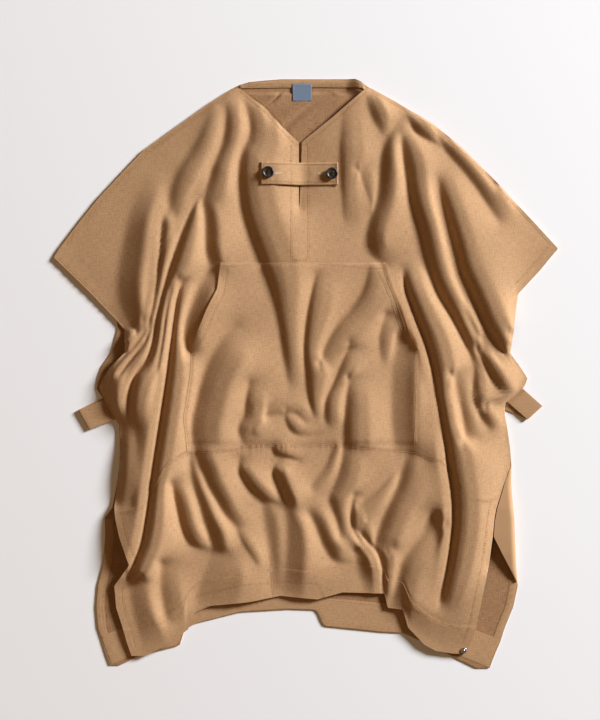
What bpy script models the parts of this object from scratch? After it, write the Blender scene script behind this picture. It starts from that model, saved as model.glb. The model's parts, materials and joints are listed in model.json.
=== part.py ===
"""Pullover poncho in brushed cotton, laid flat with its front up.

The script works in millimetres and make_piece turns them into metres. +X is the right of the garment
as it lies, +Y runs to the neck, +Z is up, and the back's outer face rests on z = 0.
Every cloth piece is a wall of cloth over a grid of rows (down the garment) and columns (across it).
The front lies on the back in folds. Each fold is one row of FLANKS, and the cloth between the folds
is a stretched sheet that is worked out from them.
"""
import math
from collections import namedtuple

import bmesh
import bpy
import numpy as np
from mathutils import Matrix, Vector

MM = 0.001

# Driving sizes in millimetres
CLOTH = 2.0
GAP = 0.3
HEM_DEPTH = 48.0
HEM_STEP = 0.8
POCKET_CLOTH = 1.8
TAB_LENGTH = 131.0
TAB_WIDTH = 38.0
TAB_CENTRE = (-11.0, 338.0)
TAB_CLOTH = 2.6
TAB_SPAN = 8.0
BUTTON_DIAMETER = 20.0
BUTTON_THICKNESS = 3.4
BUTTON_ROUNDING = 0.8
BUTTON_RIM = 1.3
BUTTON_DISH = 0.9
BUTTON_REST = 0.9
BUTTON_HOLE = 2.2
BUTTON_HOLE_SPREAD = 4.6
BUTTON_PLACES = {"button_left": (-64.0, 340.0), "button_right": (44.0, 339.0)}
NECK_BAND_TOP = [(-114, 488), (-94, 495), (-41, 499), (83, 498), (92, 494), (102, 486)]
NECK_BAND_BOTTOM = 488.0
BAND_INSET = 6.0
BAND_END_DEPTH = 3.0
BAND_CLOTH = 1.5
LABEL_LEFT = -23.0
LABEL_RIGHT = 9.0
LABEL_TOP = 492.0
LABEL_BOTTOM = 463.0
LABEL_CLOTH = 0.8
LOOP_CLOTH = 1.6
LOOP_LIFT = 0.1
LOOP_OPENING = 1.2
LOOP_BEND = 3.0
SNAP_DIAMETER = 9.0
SNAP_PLACE = (267.0, -467.0)
SNAP_REST = 6.0
SNAP_SIDES = 20
SNAP_PROFILE = [(0.0, 0.0), (1.0, 0.0), (1.0, 0.7), (0.8, 1.1), (0.55, 0.9), (0.4, 1.7), (0.0, 2.1)]

# Levels down the garment
SHOULDER_POINT = 484.0
NECK_POINT = 393.0
SLIT_END = 280.0
POCKET_TOP = 188.0
WAIST = -120.0
CENTRE_LINE = -12.0
SLIT_WIDTH = 5.0
SLIT_CURVE = 0.6
SEAM_HALF_GAP = 0.24

SIDE_SEAM_END = -215.0
SIDE_NOTCH = 74

# Columns in each block of the front: side to pocket edge, pocket edge to centre
SIDE_COLUMNS = 17
POCKET_COLUMNS = 12
LOWER_ROWS = 16
BACK_COLUMNS = 24

# Outline of the back and the front at each level y
Section = namedtuple("Section", "y back_left front_left front_right back_right")
SECTIONS = [
    Section(500, -41, -41, 83, 83),
    Section(496, -94, -94, 92, 92),
    Section(490, -114, -114, 99, 99),
    Section(482, -129, -129, 114, 114),
    Section(462, -160, -160, 151, 151),
    Section(421, -218, -218, 219, 219),
    Section(380, -275, -275, 267, 267),
    Section(339, -314, -314, 309, 309),
    Section(298, -352, -352, 348, 348),
    Section(258, -384, -384, 386, 386),
    Section(212, -419, -419, 428, 428),
    Section(197, -428, -428, 415, 415),
    Section(176, -406, -406, 398, 398),
    Section(135, -364, -364, 360, 360),
    Section(90, -321, -321, 354, 354),
    Section(74, -320, -308, 352, 352),
    Section(35, -331, -307, 346, 346),
    Section(12, -347, -331, 363, 363),
    Section(-8, -354, -345, 376, 376),
    Section(-24, -357, -351, 370, 370),
    Section(-48, -341, -341, 339, 339),
    Section(-66, -331, -331, 337, 337),
    Section(-88, -317, -316, 341, 341),
    Section(-130, -316, -315, 347, 347),
    Section(-156, -317, -316, 347, 349),
    Section(-191, -322, -321, 334, 349),
    Section(-228, -329, -325, 322, 352),
    Section(-245, -342, -323, 319, 354),
    Section(-276, -341, -316, 316, 355),
    Section(-324, -345, -299, 310, 357),
    Section(-360, -354, -325, 302, 360),
    Section(-397, -357, -322, 295, 352),
    Section(-431, -354, -311, 288, 338),
    Section(-456, -346, -304, 280, 330),
    Section(-479, -339, -296, 269, 320),
    Section(-500, -331, -290, 262, 312),
]

# Edges that cross the garment or run down it, as (x, y) turning points
NECK_LEFT = [(-112, 484), (-85, 463), (-65, 448), (-41, 419), (-12, 393)]
NECK_RIGHT = [(102, 484), (82, 467), (44, 434), (19, 414), (4, 402), (-7, 393)]
POCKET_LEFT = [(-145, 188), (-150, 144), (-168, 109), (-181, 77), (-194, 46), (-196, -4), (-207, -75),
               (-201, -132)]
POCKET_RIGHT = [(134, 188), (148, 144), (162, 110), (176, 62), (191, 38), (189, -60), (188, -132)]
WAIST_SEAM = [(-325, -234), (-289, -230), (-274, -221), (-235, -150), (-202, -132), (-121, -127),
              (-111, -122), (-77, -120), (75, -120), (84, -122), (136, -127), (188, -131), (206, -141),
              (231, -146), (280, -204), (297, -212), (321, -212)]
FRONT_HEM = [(-296, -479), (-245, -459), (-206, -433), (-201, -419), (-189, -405), (-162, -394),
             (-94, -387), (-43, -377), (19, -383), (61, -371), (131, -373), (138, -397), (164, -400),
             (177, -431), (211, -459), (236, -470), (271, -475)]
BACK_HEM = [(-332, -495), (-294, -480), (-219, -462), (-206, -436), (-185, -424), (-112, -405),
            (-33, -400), (19, -402), (30, -429), (128, -439), (166, -441), (228, -467), (311, -500)]

# The back's side turned over to the front: the edge that it ends in, and its height there
TurnedEdge = namedtuple("TurnedEdge", "y x z")
TURNED_GAP = 1.0
TURN_ANGLES = (30, 60, 90)
TURN_WIDTH = 7.2
TURNED_SIDE = [
    TurnedEdge(-180, 338, 7),
    TurnedEdge(-206, 330, 10),
    TurnedEdge(-228, 323, 12),
    TurnedEdge(-250, 319, 12),
    TurnedEdge(-276, 317, 12),
    TurnedEdge(-304, 331, 11),
    TurnedEdge(-332, 346, 8),
]

# Folds of the front, each by its steep flank, which is the side turned away from the light. The path
# is the flank's foot in the points of the reference picture, with a size at each point, as a fold grows
# and fades. The crest lies at reach from the foot, and dark is the width of the steepest part, both in
# those points. Foot is the height of the foot and rise that of the crest over it, in millimetres. Full
# is the share of the rise that the steep part has, and lip the height of the cloth behind the foot.
PICTURE_POINT = 1.7
PICTURE_MIDDLE = (306.0, 373.5)
Flank = namedtuple("Flank", "name dark reach foot rise full path lip", defaults=[0.0])
FLANKS = [
    Flank("sleeve hollow left", 24, 34, 2, 15, .6,
          [(145, 178, .2), (131, 212, .8), (123, 248, 1), (118, 285, 1), (124, 312, .9), (139, 336, .4)]),
    Flank("sleeve crease left", 4, 11, 8, 10, .6,
          [(164, 200, .4), (162, 235, .8), (160, 262, 1), (156, 296, 1), (149, 325, 1), (136, 345, 1),
           (121, 360, 1), (109, 374, .9)], 7),
    Flank("bulge fold left", 3, 8, 8, 7, .6,
          [(153, 318, .3), (146, 340, 1), (133, 358, 1), (118, 376, .7)], 5),
    Flank("side crease left", 5, 17, 6, 13, .6,
          [(216, 170, .3), (199, 198, .8), (189, 219, .9), (178, 247, 1), (168, 278, 1), (159, 312, 1),
           (154, 342, 1), (147, 361, 1.1), (136, 375, 1.3), (130, 394, 1.3), (128, 418, .8)], 7),
    Flank("shoulder left", 12, 30, 4, 10, .65,
          [(213, 104, .2), (203, 128, .8), (193, 148, 1), (180, 168, 1), (171, 190, .9), (166, 220, .3)]),
    Flank("shoulder left short", 9, 20, 5, 9, .7,
          [(225, 100, .2), (226, 124, .8), (222, 146, .9), (214, 165, 1), (207, 188, 1), (199, 210, .6)]),
    Flank("long fold", 9, 34, 4, 10, .65,
          [(243, 100, .1), (249, 120, .5), (249, 138, .7), (242, 152, .9), (239, 175, 1), (242, 205, 1),
           (248, 228, 1), (259, 257, 1), (271, 288, .9), (279, 318, .8), (284, 350, .8), (289, 392, .3)]),
    Flank("chest low left", 8, 14, 5, 9, .6,
          [(200, 196, .3), (204, 212, .8), (206, 232, 1), (207, 252, 1), (214, 270, .6)]),
    Flank("pocket mouth left", 12, 17, 3, 10, .6,
          [(210, 268, .4), (197, 290, 1), (188, 312, 1), (184, 335, 1), (186, 356, .4)]),
    Flank("side long crease left", 4, 17, 5, 13, .6,
          [(182, 276, .2), (178, 298, .6), (173, 336, .8), (167, 382, 1), (161, 422, 1.1), (153, 475, 1.1),
           (149, 507, 1.1), (143, 541, 1.1), (135, 562, 1), (126, 582, .5)], 9),
    Flank("side edge left", 8, 18, 1, 10, .7, [(123, 424, .4), (119, 470, 1), (116, 505, .5)]),
    Flank("pocket left broad", 16, 32, 4, 12, .6,
          [(238, 322, .2), (220, 342, .8), (205, 370, 1), (196, 400, 1), (191, 425, .9), (192, 446, .7)]),
    Flank("pocket left soft", 7, 18, 5, 6, .7,
          [(249, 380, .3), (246, 400, 1), (245, 414, 1), (238, 428, .8), (243, 444, .3)]),
    Flank("pocket centre", 6, 24, 5, 7, .7,
          [(316, 272, .3), (310, 300, .8), (306, 330, 1), (305, 352, 1), (307, 372, 1), (310, 398, 1),
           (314, 418, .4)]),
    Flank("swirl lower", 4, 11, 4, 5, .7,
          [(285, 406, .2), (286, 420, .9), (292, 431, 1), (301, 435, .9), (318, 434, .2)]),
    Flank("swirl upper", 3, 11, 5, 2.5, .7,
          [(262, 417, .2), (277, 414, .9), (289, 413, 1), (297, 414, .9), (306, 424, .2)]),
    Flank("chest right soft", 7, 24, 5, 5, .7,
          [(342, 112, .3), (340, 150, 1), (341, 180, 1), (343, 222, .3)]),
    Flank("neck hollow right", 8, 16, 5, 6, .7, [(365, 98, .3), (372, 118, 1), (382, 136, .4)]),
    Flank("armhole right", 8, 17, 4, 11, .7,
          [(404, 117, .2), (389, 135, .8), (383, 152, 1), (382, 175, 1), (384, 200, .7), (386, 222, .2)]),
    Flank("armhole right low", 12, 20, 3, 11, .5,
          [(378, 196, .2), (372, 218, .6), (368, 238, .9), (370, 256, .8), (376, 272, .3)]),
    Flank("chest slope right", 6, 16, 5, 3.5, .7,
          [(354, 150, .1), (362, 176, .7), (373, 204, .9), (382, 226, .2)]),
    Flank("long fold right", 8, 22, 5, 13, .62,
          [(398, 128, .3), (403, 157, .7), (406, 177, .8), (411, 204, .9), (420, 232, 1), (428, 266, 1),
           (437, 292, 1), (450, 314, 1), (460, 333, .9), (470, 355, .6), (478, 378, .2)]),
    Flank("sleeve crease right", 6, 22, 6, 14, .62,
          [(436, 176, .2), (443, 206, .6), (449, 228, .8), (456, 254, .9), (461, 273, 1), (469, 291, 1.1),
           (478, 312, 1.1), (487, 331, 1.1), (497, 346, 1), (510, 360, .8)], 3),
    Flank("sleeve soft right", 8, 22, 5, 6, .7,
          [(434, 132, .3), (446, 152, 1), (460, 168, 1), (474, 186, 1), (486, 204, .8), (499, 224, .3)]),
    Flank("shoulder tick right", 6, 14, 5, 6, .7,
          [(406, 113, .3), (413, 130, 1), (424, 139, 1), (442, 147, .3)]),
    Flank("side long crease right", 4, 22, 4, 14, .55,
          [(402, 266, .3), (405, 288, .8), (411, 306, .9), (417, 322, .9), (424, 340, 1), (429, 356, 1),
           (433, 373, 1), (437, 394, 1), (441, 417, 1.1), (445, 442, 1.2), (448, 467, 1.3), (452, 492, 1.3),
           (453, 518, 1.3), (451, 540, 1.2), (448, 561, 1.1), (444, 581, .9), (438, 608, .4)], 8),
    Flank("side soft right", 8, 17, 6, 5, .7,
          [(450, 372, .3), (458, 400, 1), (462, 421, 1), (463, 442, .3)]),
    Flank("side crescent right", 6, 14, 6, 8, .7,
          [(475, 360, .3), (473, 392, 1), (478, 411, 1), (490, 430, .4)]),
    Flank("loop fold right", 5, 12, 7, 8, .65,
          [(474, 344, .3), (487, 371, 1), (496, 386, 1), (507, 399, .6)], 3),
    Flank("loop tuck right", 4, 8, 6, 6, .7, [(481, 409, .3), (495, 403, 1), (507, 401, .8)]),
    Flank("pocket right wide", 13, 18, 4, 11, .5,
          [(403, 330, .3), (401, 375, 1), (400, 415, 1), (401, 448, .8)]),
    Flank("pocket right small", 7, 15, 6, 4, .7, [(385, 312, .3), (379, 338, 1), (381, 362, .3)]),
    Flank("pocket right soft", 8, 26, 5, 7, .7,
          [(370, 262, .3), (364, 288, 1), (352, 308, 1), (337, 325, 1), (326, 344, .8), (318, 366, .3)]),
    Flank("pocket right upright", 8, 24, 5, 8, .7,
          [(348, 374, .2), (346, 400, .8), (345, 425, 1), (345, 446, 1)]),
    Flank("pocket right slope", 6, 16, 5, 6, .7,
          [(350, 340, .3), (340, 367, 1), (333, 384, 1), (326, 399, 1), (325, 414, .9), (327, 426, .3)]),
    Flank("waist side left", 9, 15, 4, 8, .75,
          [(195, 448, .8), (199, 462, 1.1), (204, 473, 1.1), (208, 484, 1), (217, 500, .9), (226, 516, .7),
           (239, 530, .4)]),
    Flank("skirt thin line", 3, 8, 7, 2, .7,
          [(236, 528, .3), (242, 542, 1), (250, 554, 1), (257, 565, .3)]),
    Flank("skirt diagonal left", 10, 14, 3, 8, .75,
          [(189, 452, .5), (191, 472, .7), (195, 489, .9), (200, 505, 1), (205, 521, 1.1), (211, 537, 1.2),
           (214, 552, .8)]),
    Flank("skirt hook left", 7, 14, 3, 7, .7,
          [(169, 480, .2), (174, 495, .8), (178, 511, 1), (182, 527, 1), (187, 538, 1), (193, 545, 1),
           (203, 549, .7), (218, 549, .3)]),
    Flank("skirt short left", 6, 12, 4, 7, .75,
          [(240, 457, .3), (239, 470, .8), (247, 484, 1), (256, 494, 1), (267, 501, .8), (283, 505, .2)]),
    Flank("waist tuck", 3, 9, 5, 4, .7, [(270, 446, .3), (277, 454, 1), (286, 457, 1), (300, 461, .3)]),
    Flank("skirt hook", 7, 12, 4, 9, .7,
          [(283, 458, .3), (274, 466, .9), (274, 474, 1), (279, 487, 1), (284, 499, 1), (286, 516, 1.1),
           (290, 544, 1.3), (288, 570, 1.2), (286, 598, 1.1)]),
    Flank("skirt middle soft", 17, 24, 1, 5, .7,
          [(262, 498, .4), (264, 518, 1), (268, 542, 1), (272, 566, .8), (272, 592, .7)]),
    Flank("waist tick", 5, 10, 5, 4, .7, [(334, 442, .8), (329, 458, 1), (321, 472, .6), (309, 488, .3)]),
    Flank("skirt right soft", 9, 20, 4, 7, .7,
          [(343, 444, .6), (340, 466, 1), (334, 485, 1), (329, 497, 1), (332, 507, 1), (337, 521, 1),
           (340, 540, .5)]),
    Flank("skirt right slope", 9, 14, 3, 7, .75,
          [(306, 510, .3), (315, 524, .8), (321, 538, 1), (327, 550, 1), (333, 559, 1), (342, 563, .7),
           (355, 562, .2)]),
    Flank("skirt slit", 4, 12, 5, 5, .7, [(353, 492, .1), (351, 510, 1), (352, 526, 1), (360, 541, .3)]),
    Flank("skirt flap", 5, 17, 3, 7, .6,
          [(352, 524, .4), (367, 541, 1), (377, 553, 1), (382, 570, 1), (383, 596, 1)], 9),
    Flank("skirt flap patch", 11, 15, 3, 6, .7,
          [(354, 548, .3), (358, 561, 1), (361, 573, 1), (363, 588, .9)]),
    Flank("skirt fall right", 11, 22, 4, 10, .75,
          [(409, 450, .4), (405, 463, .8), (399, 481, 1), (388, 505, 1), (380, 526, 1), (375, 541, .8),
           (378, 556, .3)]),
    Flank("skirt fall short right", 5, 11, 6, 5, .7,
          [(394, 472, .3), (381, 486, 1), (368, 497, 1), (356, 506, .7)]),
    Flank("skirt side right", 9, 17, 4, 4, .7,
          [(433, 452, .1), (428, 490, 1), (431, 517, .9), (446, 552, .1)]),
    Flank("skirt low right", 11, 20, 3, 9, .75,
          [(426, 526, .3), (410, 549, 1), (402, 561, 1), (399, 572, 1), (396, 586, 1), (392, 606, 1)]),
    Flank("vent fold left", 14, 24, 3, 7, .6,
          [(127, 570, .3), (131, 596, .9), (136, 622, 1), (142, 646, 1)]),
    Flank("hem left", 28, 40, 2, 9, .7, [(214, 545, .4), (207, 566, .9), (199, 588, 1), (196, 606, 1)]),
    Flank("hem left outer", 10, 20, 3, 4, .7, [(160, 560, .3), (161, 590, 1), (166, 622, 1)]),
]

# How the folds are joined to one sheet, in millimetres and shares
LIGHT_SIDE = (0.87, 0.5)
FOLD_LIFT = 1.65
LEVEL = 3.0
LEVEL_REACH = 160.0
CREST_SHARE = 0.62
CREST_LINES = [(0.0, 3.0), (0.12, 1.2), (0.28, 1.2), (0.55, 1.0), (1.0, 0.8)]
LIP_STEP = 8.0
END_FADE = 0.12
TALLEST = 32.0
EDGE_HEIGHT = 0.4
NECK_RISE = [(280, 1.5), (393, 3.0), (430, 4.5), (484, 0.6)]
EDGE_POINTS = 180
SHEET_STEPS = (16.0, 8.0, 4.0)
SHEET_WIDTH = 480.0
SHEET_HEIGHT = 528.0
SHEET_ROUNDS = 100
ROUNDING = 1.6
NEIGHBOUR_NEAR = 3.0
NEIGHBOUR_ASIDE = 6.0
# Points over which the room beside a fold is evened, and the points at its ends that leave room
ROOM_EVENED = 4
END_POINTS = 3
# Width of a fold where its path's size is 0, and its rise where it has no room
NARROWEST = 0.6
LOWEST = 0.35
HEM_CALM = 60.0
HEM_SHARE = 0.45
HEM_EDGE = 12.0
WAIST_BEND_TOP = 20.0
HEM_MIDDLE = -400.0
SLOPE_STEP = 4.0
STEEPEST = 2.0

# Strap loops: the four corners in plan of the upper layer, from the seam outwards, and how far the
# lower layer's seam end is moved
Loop = namedtuple("Loop", "name seam_top seam_bottom end_top end_bottom lower_shift")
LOOPS = [
    Loop("side_loop_left", (-344, -45), (-326, -76), (-386, -62), (-367, -94), (-10, 9)),
    Loop("side_loop_right", (373, -24), (343, -50), (401, -57), (379, -86), (1, -10)),
]

BUTTON_ROUGHNESS = 0.35
COLOURS = {
    "cloth": (0.50, 0.31, 0.17),
    "label": (0.16, 0.20, 0.26),
    "button": (0.022, 0.017, 0.014),
    "metal": (0.62, 0.62, 0.60),
}


def smooth_step(share):
    share = np.clip(share, 0.0, 1.0)
    return share * share * (3.0 - 2.0 * share)


def mix(start, end, share):
    return start + (end - start) * share


def along(points, level):
    """Read x at a level from points that run down the garment."""
    table = sorted((y, x) for x, y in points)
    return np.interp(level, [row[0] for row in table], [row[1] for row in table])


def across(points, place):
    """Read y at a place x from points that run across the garment."""
    return np.interp(place, [row[0] for row in points], [row[1] for row in points])


def outline(level, column):
    """Read one column of the outline table at a level."""
    return along([(getattr(row, column), row.y) for row in SECTIONS], level)


def smooth_curve(points, steps=6):
    """A smooth curve through a few points."""
    ends = [2 * np.array(points[0]) - points[1], 2 * np.array(points[-1]) - points[-2]]
    knots = np.array([ends[0], *points, ends[1]], float)
    curve = []
    for a, b, c, d in zip(knots, knots[1:], knots[2:], knots[3:]):
        for t in np.linspace(0, 1, steps, endpoint=False):
            curve.append(0.5 * (2 * b + (c - a) * t + (2 * a - 5 * b + 4 * c - d) * t ** 2
                                + (3 * b - a - 3 * c + d) * t ** 3))
    curve.append(knots[-2])
    return np.array(curve)


def flank_path(flank):
    """Places of a flank's foot, its sizes there, and the directions to its crest."""
    path = smooth_curve(flank.path)
    foot = (path[:, :2] - PICTURE_MIDDLE) * [PICTURE_POINT, -PICTURE_POINT]
    to_crest = np.gradient(foot, axis=0)[:, ::-1] * [1, -1]
    to_crest /= np.linalg.norm(to_crest, axis=1)[:, None]
    to_crest *= np.sign(to_crest @ LIGHT_SIDE)[:, None]
    return foot, path[:, 2], to_crest


def room_to_next(foot, to_crest, other_feet, reach):
    """The share of its reach that a crest has before another fold's foot begins."""
    apart = other_feet[None] - foot[:, None]
    ahead = (apart * to_crest[:, None]).sum(axis=2)
    aside = np.abs(apart[..., 0] * to_crest[:, None, 1] - apart[..., 1] * to_crest[:, None, 0])
    beside = (ahead > NEIGHBOUR_NEAR) & (aside < NEIGHBOUR_ASIDE)
    ahead = np.where(beside, ahead, np.inf).min(axis=1)
    room = np.minimum(reach, ahead * CREST_SHARE) / reach
    padded = np.pad(room, ROOM_EVENED, mode="edge")
    return np.mean([padded[i:i + len(room)] for i in range(2 * ROOM_EVENED + 1)], axis=0)


def flank_lines(index, paths):
    """Lines along a flank, from its foot to its crest, as points (x, y, height, pull)."""
    flank = FLANKS[index]
    foot, size, to_crest = paths[index]
    widen = mix(NARROWEST, 1.0, size) * PICTURE_POINT
    others = np.concatenate([path[0][END_POINTS:-END_POINTS] for i, path in enumerate(paths)
                             if i != index])
    room = room_to_next(foot, to_crest, others, flank.reach * widen)
    run = np.linspace(0, 1, len(foot))
    pull = smooth_step(run / END_FADE) * smooth_step((1 - run) / END_FADE)
    rise = flank.rise * FOLD_LIFT * size * mix(LOWEST, 1.0, room)
    bend = math.log(1 - flank.full) / math.log(1 - flank.dark / flank.reach)
    lines = []
    for share, firm in CREST_LINES:
        there = foot + (flank.reach * share * widen * room)[:, None] * to_crest
        height = flank.foot + rise * (1 - (1 - share) ** bend)
        lines.append(np.column_stack([there, height, firm * pull]))
    if flank.lip:
        there = foot - LIP_STEP * to_crest
        lines.append(np.column_stack([there, flank.foot + rise * flank.lip / flank.rise, pull]))
    return lines


def edge_lines():
    """The front's free edges, which lie down on the back."""
    lines = []
    for name, side in (("front_left", NECK_LEFT), ("front_right", NECK_RIGHT)):
        levels = np.linspace(SHOULDER_POINT, SIDE_SEAM_END, EDGE_POINTS)
        height = np.full(len(levels), EDGE_HEIGHT)
        lines.append(np.column_stack([outline(levels, name), levels, height, np.ones(len(levels))]))
        levels = np.linspace(SHOULDER_POINT, SLIT_END, EDGE_POINTS)
        place = np.where(levels > NECK_POINT, along(side, levels), CENTRE_LINE)
        height = along([(rise, level) for level, rise in NECK_RISE], levels)
        lines.append(np.column_stack([place, levels, height, np.ones(len(levels))]))
    return lines


def relax_sheet(step, lines, sheet):
    """Pull a sheet on a grid of one step to the lines, and let the rest of it level out."""
    columns = np.arange(-SHEET_WIDTH, SHEET_WIDTH + step, step)
    rows = np.arange(-SHEET_HEIGHT, SHEET_HEIGHT + step, step)
    total = np.full((len(rows), len(columns)), 1e-6)
    held = np.zeros(total.shape)
    for line in lines:
        count = int(np.hypot(*np.diff(line[:, :2], axis=0).T).sum() / step * 2) + 2
        places = np.linspace(0, len(line) - 1, count)
        x, y, height, pull = [np.interp(places, np.arange(len(line)), values) for values in line.T]
        column = (x + SHEET_WIDTH) / step
        row = (y + SHEET_HEIGHT) / step
        left = column.astype(int)
        low = row.astype(int)
        for right, share_x in ((0, 1 - column + left), (1, column - left)):
            for up, share_y in ((0, 1 - row + low), (1, row - low)):
                weight = pull * share_x * share_y
                np.add.at(total, (low + up, left + right), weight)
                np.add.at(held, (low + up, left + right), weight * height)
    target = held / total
    strength = np.minimum(total, 1.0) * 10
    level_pull = (step / LEVEL_REACH) ** 2
    if sheet is None:
        sheet = np.full(total.shape, LEVEL)
    for _ in range(SHEET_ROUNDS):
        padded = np.pad(sheet, 1, mode="edge")
        around = padded[:-2, 1:-1] + padded[2:, 1:-1] + padded[1:-1, :-2] + padded[1:-1, 2:]
        sheet = (around + strength * target + level_pull * LEVEL) / (4 + strength + level_pull)
    return sheet


def read_sheet(sheet, row, column):
    """Heights between the sheet's grid points."""
    low_row = np.clip(row.astype(int), 0, sheet.shape[0] - 2)
    low_column = np.clip(column.astype(int), 0, sheet.shape[1] - 2)
    near = mix(sheet[low_row, low_column], sheet[low_row, low_column + 1], column - low_column)
    far = mix(sheet[low_row + 1, low_column], sheet[low_row + 1, low_column + 1], column - low_column)
    return mix(near, far, row - low_row)


def soften(sheet, spread):
    """Round the sheet with a bell of the given spread in grid steps."""
    reach = int(3 * spread)
    bell = np.exp(-np.arange(-reach, reach + 1) ** 2 / (2 * spread ** 2))
    bell /= bell.sum()
    padded = np.pad(sheet, reach, mode="edge")
    rows = sum(weight * padded[i:i + sheet.shape[0], :] for i, weight in enumerate(bell))
    return sum(weight * rows[:, i:i + sheet.shape[1]] for i, weight in enumerate(bell))


def fold_sheet():
    """Heights of the front over the back on the finest grid."""
    paths = [flank_path(flank) for flank in FLANKS]
    lines = edge_lines()
    for index in range(len(FLANKS)):
        lines += flank_lines(index, paths)
    sheet = None
    for step in SHEET_STEPS:
        if sheet is not None:
            row, column = np.mgrid[0:2 * sheet.shape[0] - 1, 0:2 * sheet.shape[1] - 1] / 2
            sheet = read_sheet(sheet, row, column)
        sheet = relax_sheet(step, lines, sheet)
    return TALLEST * np.tanh(soften(sheet, ROUNDING) / TALLEST)


def cloth_middle(x, y):
    """Height of the middle of the front's cloth over the surface that the garment lies on."""
    x = np.asarray(x, float)
    y = np.asarray(y, float)
    step = SHEET_STEPS[-1]
    height = read_sheet(HEIGHTS, (y + SHEET_HEIGHT) / step, (x + SHEET_WIDTH) / step)
    above_hem = smooth_step((y - across(FRONT_HEM, x)) / HEM_CALM)
    height = height * mix(HEM_SHARE, 1.0, above_hem)
    return CLOTH + GAP + CLOTH / 2 + np.maximum(height, 0.0)


def cloth_faces(x, y, thickness=CLOTH):
    """Heights of the cloth's top and underside, so that its wall is as thick on slopes as on the flat."""
    middle = cloth_middle(x, y)
    slope_x = (cloth_middle(x + SLOPE_STEP, y) - cloth_middle(x - SLOPE_STEP, y)) / (2 * SLOPE_STEP)
    slope_y = (cloth_middle(x, y + SLOPE_STEP) - cloth_middle(x, y - SLOPE_STEP)) / (2 * SLOPE_STEP)
    steep = np.minimum(slope_x ** 2 + slope_y ** 2, STEEPEST ** 2)
    half = thickness / 2 * np.sqrt(1 + steep)
    return middle + half, np.maximum(middle - half, CLOTH + GAP)


def front_column(level, share, side):
    """Place of a column at a level: share 0 at the side, 1 at the pocket's edge, 2 at the centre."""
    left = side == "left"
    edge = outline(level, "front_left" if left else "front_right")
    centre = front_centre(level, side)
    pocket_edge = POCKET_LEFT if left else POCKET_RIGHT
    held = min(max(level, pocket_edge[-1][1]), POCKET_TOP)
    held_edge = outline(held, "front_left" if left else "front_right")
    part = (along(pocket_edge, held) - held_edge) / (front_centre(held, side) - held_edge)
    pocket = mix(edge, centre, part)
    if share <= 1:
        return mix(edge, pocket, share)
    return mix(pocket, centre, share - 1)


def front_centre(level, side):
    """The inner edge of one half of the front: V neck, then slit, then the centre line."""
    if level > NECK_POINT:
        return along(NECK_LEFT if side == "left" else NECK_RIGHT, level)
    open_share = max(level - SLIT_END, 0.0) / (NECK_POINT - SLIT_END)
    return CENTRE_LINE + (0.0 if side == "left" else SLIT_WIDTH * open_share ** SLIT_CURVE)


def upper_point(level, share, side):
    """A point of the upper front: its rows bend down to the waist seam."""
    place = front_column(level, share, side)
    bend = smooth_step((WAIST_BEND_TOP - level) / (WAIST_BEND_TOP - WAIST))
    level = level + bend * (across(WAIST_SEAM, place) - WAIST)
    return front_column(level, share, side), level


def lower_point(run, share, side):
    """A point of the skirt: run 0 at the waist seam, 1 at the hem."""
    place = front_column(mix(WAIST, HEM_MIDDLE, run), share, side)
    level = mix(across(WAIST_SEAM, place), across(FRONT_HEM, place), run)
    return front_column(level, share, side), level


def clear_scene():
    for thing in list(bpy.data.objects):
        bpy.data.objects.remove(thing, do_unlink=True)


def make_material(name, colour, roughness, metallic=0.0):
    material = bpy.data.materials.new(name)
    material.use_nodes = True
    shader = material.node_tree.nodes["Principled BSDF"]
    shader.inputs["Base Color"].default_value = (*colour, 1.0)
    shader.inputs["Roughness"].default_value = roughness
    shader.inputs["Metallic"].default_value = metallic
    return material


def make_piece(name, points, faces, colour="cloth", roughness=0.9, metallic=0.0):
    """A named object with its own material from points in millimetres."""
    mesh = bpy.data.meshes.new(name)
    mesh.from_pydata([tuple(float(c) * MM for c in point) for point in points], [], faces)
    mesh.validate()
    mesh.materials.append(make_material(name, COLOURS[colour], roughness, metallic))
    piece = bpy.data.objects.new(name, mesh)
    bpy.context.collection.objects.link(piece)
    return piece


def make_wall(name, outer, inner, quads, **look):
    """A closed wall of cloth: two faces over the same grid, joined along every free edge.

    Both faces are split along the same diagonals, so that they never cross.
    """
    count = len(outer)
    faces = []
    free = {}
    for quad in quads:
        for a, b in zip(quad, quad[1:] + quad[:1]):
            if free.pop((b, a), None) is None:
                free[(a, b)] = True
        a, b, c, d = quad
        faces += [(a, b, c), (a, c, d)]
        faces += [(c + count, b + count, a + count), (d + count, c + count, a + count)]
    for a, b in free:
        faces += [(b, a, a + count), (b, a + count, b + count)]
    return make_piece(name, list(outer) + list(inner), faces, **look)


def grid_quads(numbers):
    """Quads between rows of point numbers that run down the garment, seen from above."""
    quads = []
    for upper, lower in zip(numbers, numbers[1:]):
        for column in range(len(upper) - 1):
            quads.append([lower[column], lower[column + 1], upper[column + 1], upper[column]])
    return quads


def column_shares():
    sides = list(np.linspace(0, 1, SIDE_COLUMNS, endpoint=False))
    return sides + list(np.linspace(1, 2, POCKET_COLUMNS + 1))


def upper_levels():
    """Levels of the upper front's rows, with one on each turning point."""
    levels = list(np.linspace(SHOULDER_POINT, NECK_POINT, 5, endpoint=False))
    levels += list(np.linspace(NECK_POINT, SLIT_END, 6, endpoint=False))
    levels += list(np.linspace(SLIT_END, POCKET_TOP, 5, endpoint=False))
    return levels + list(np.linspace(POCKET_TOP, WAIST, 19))


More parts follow.
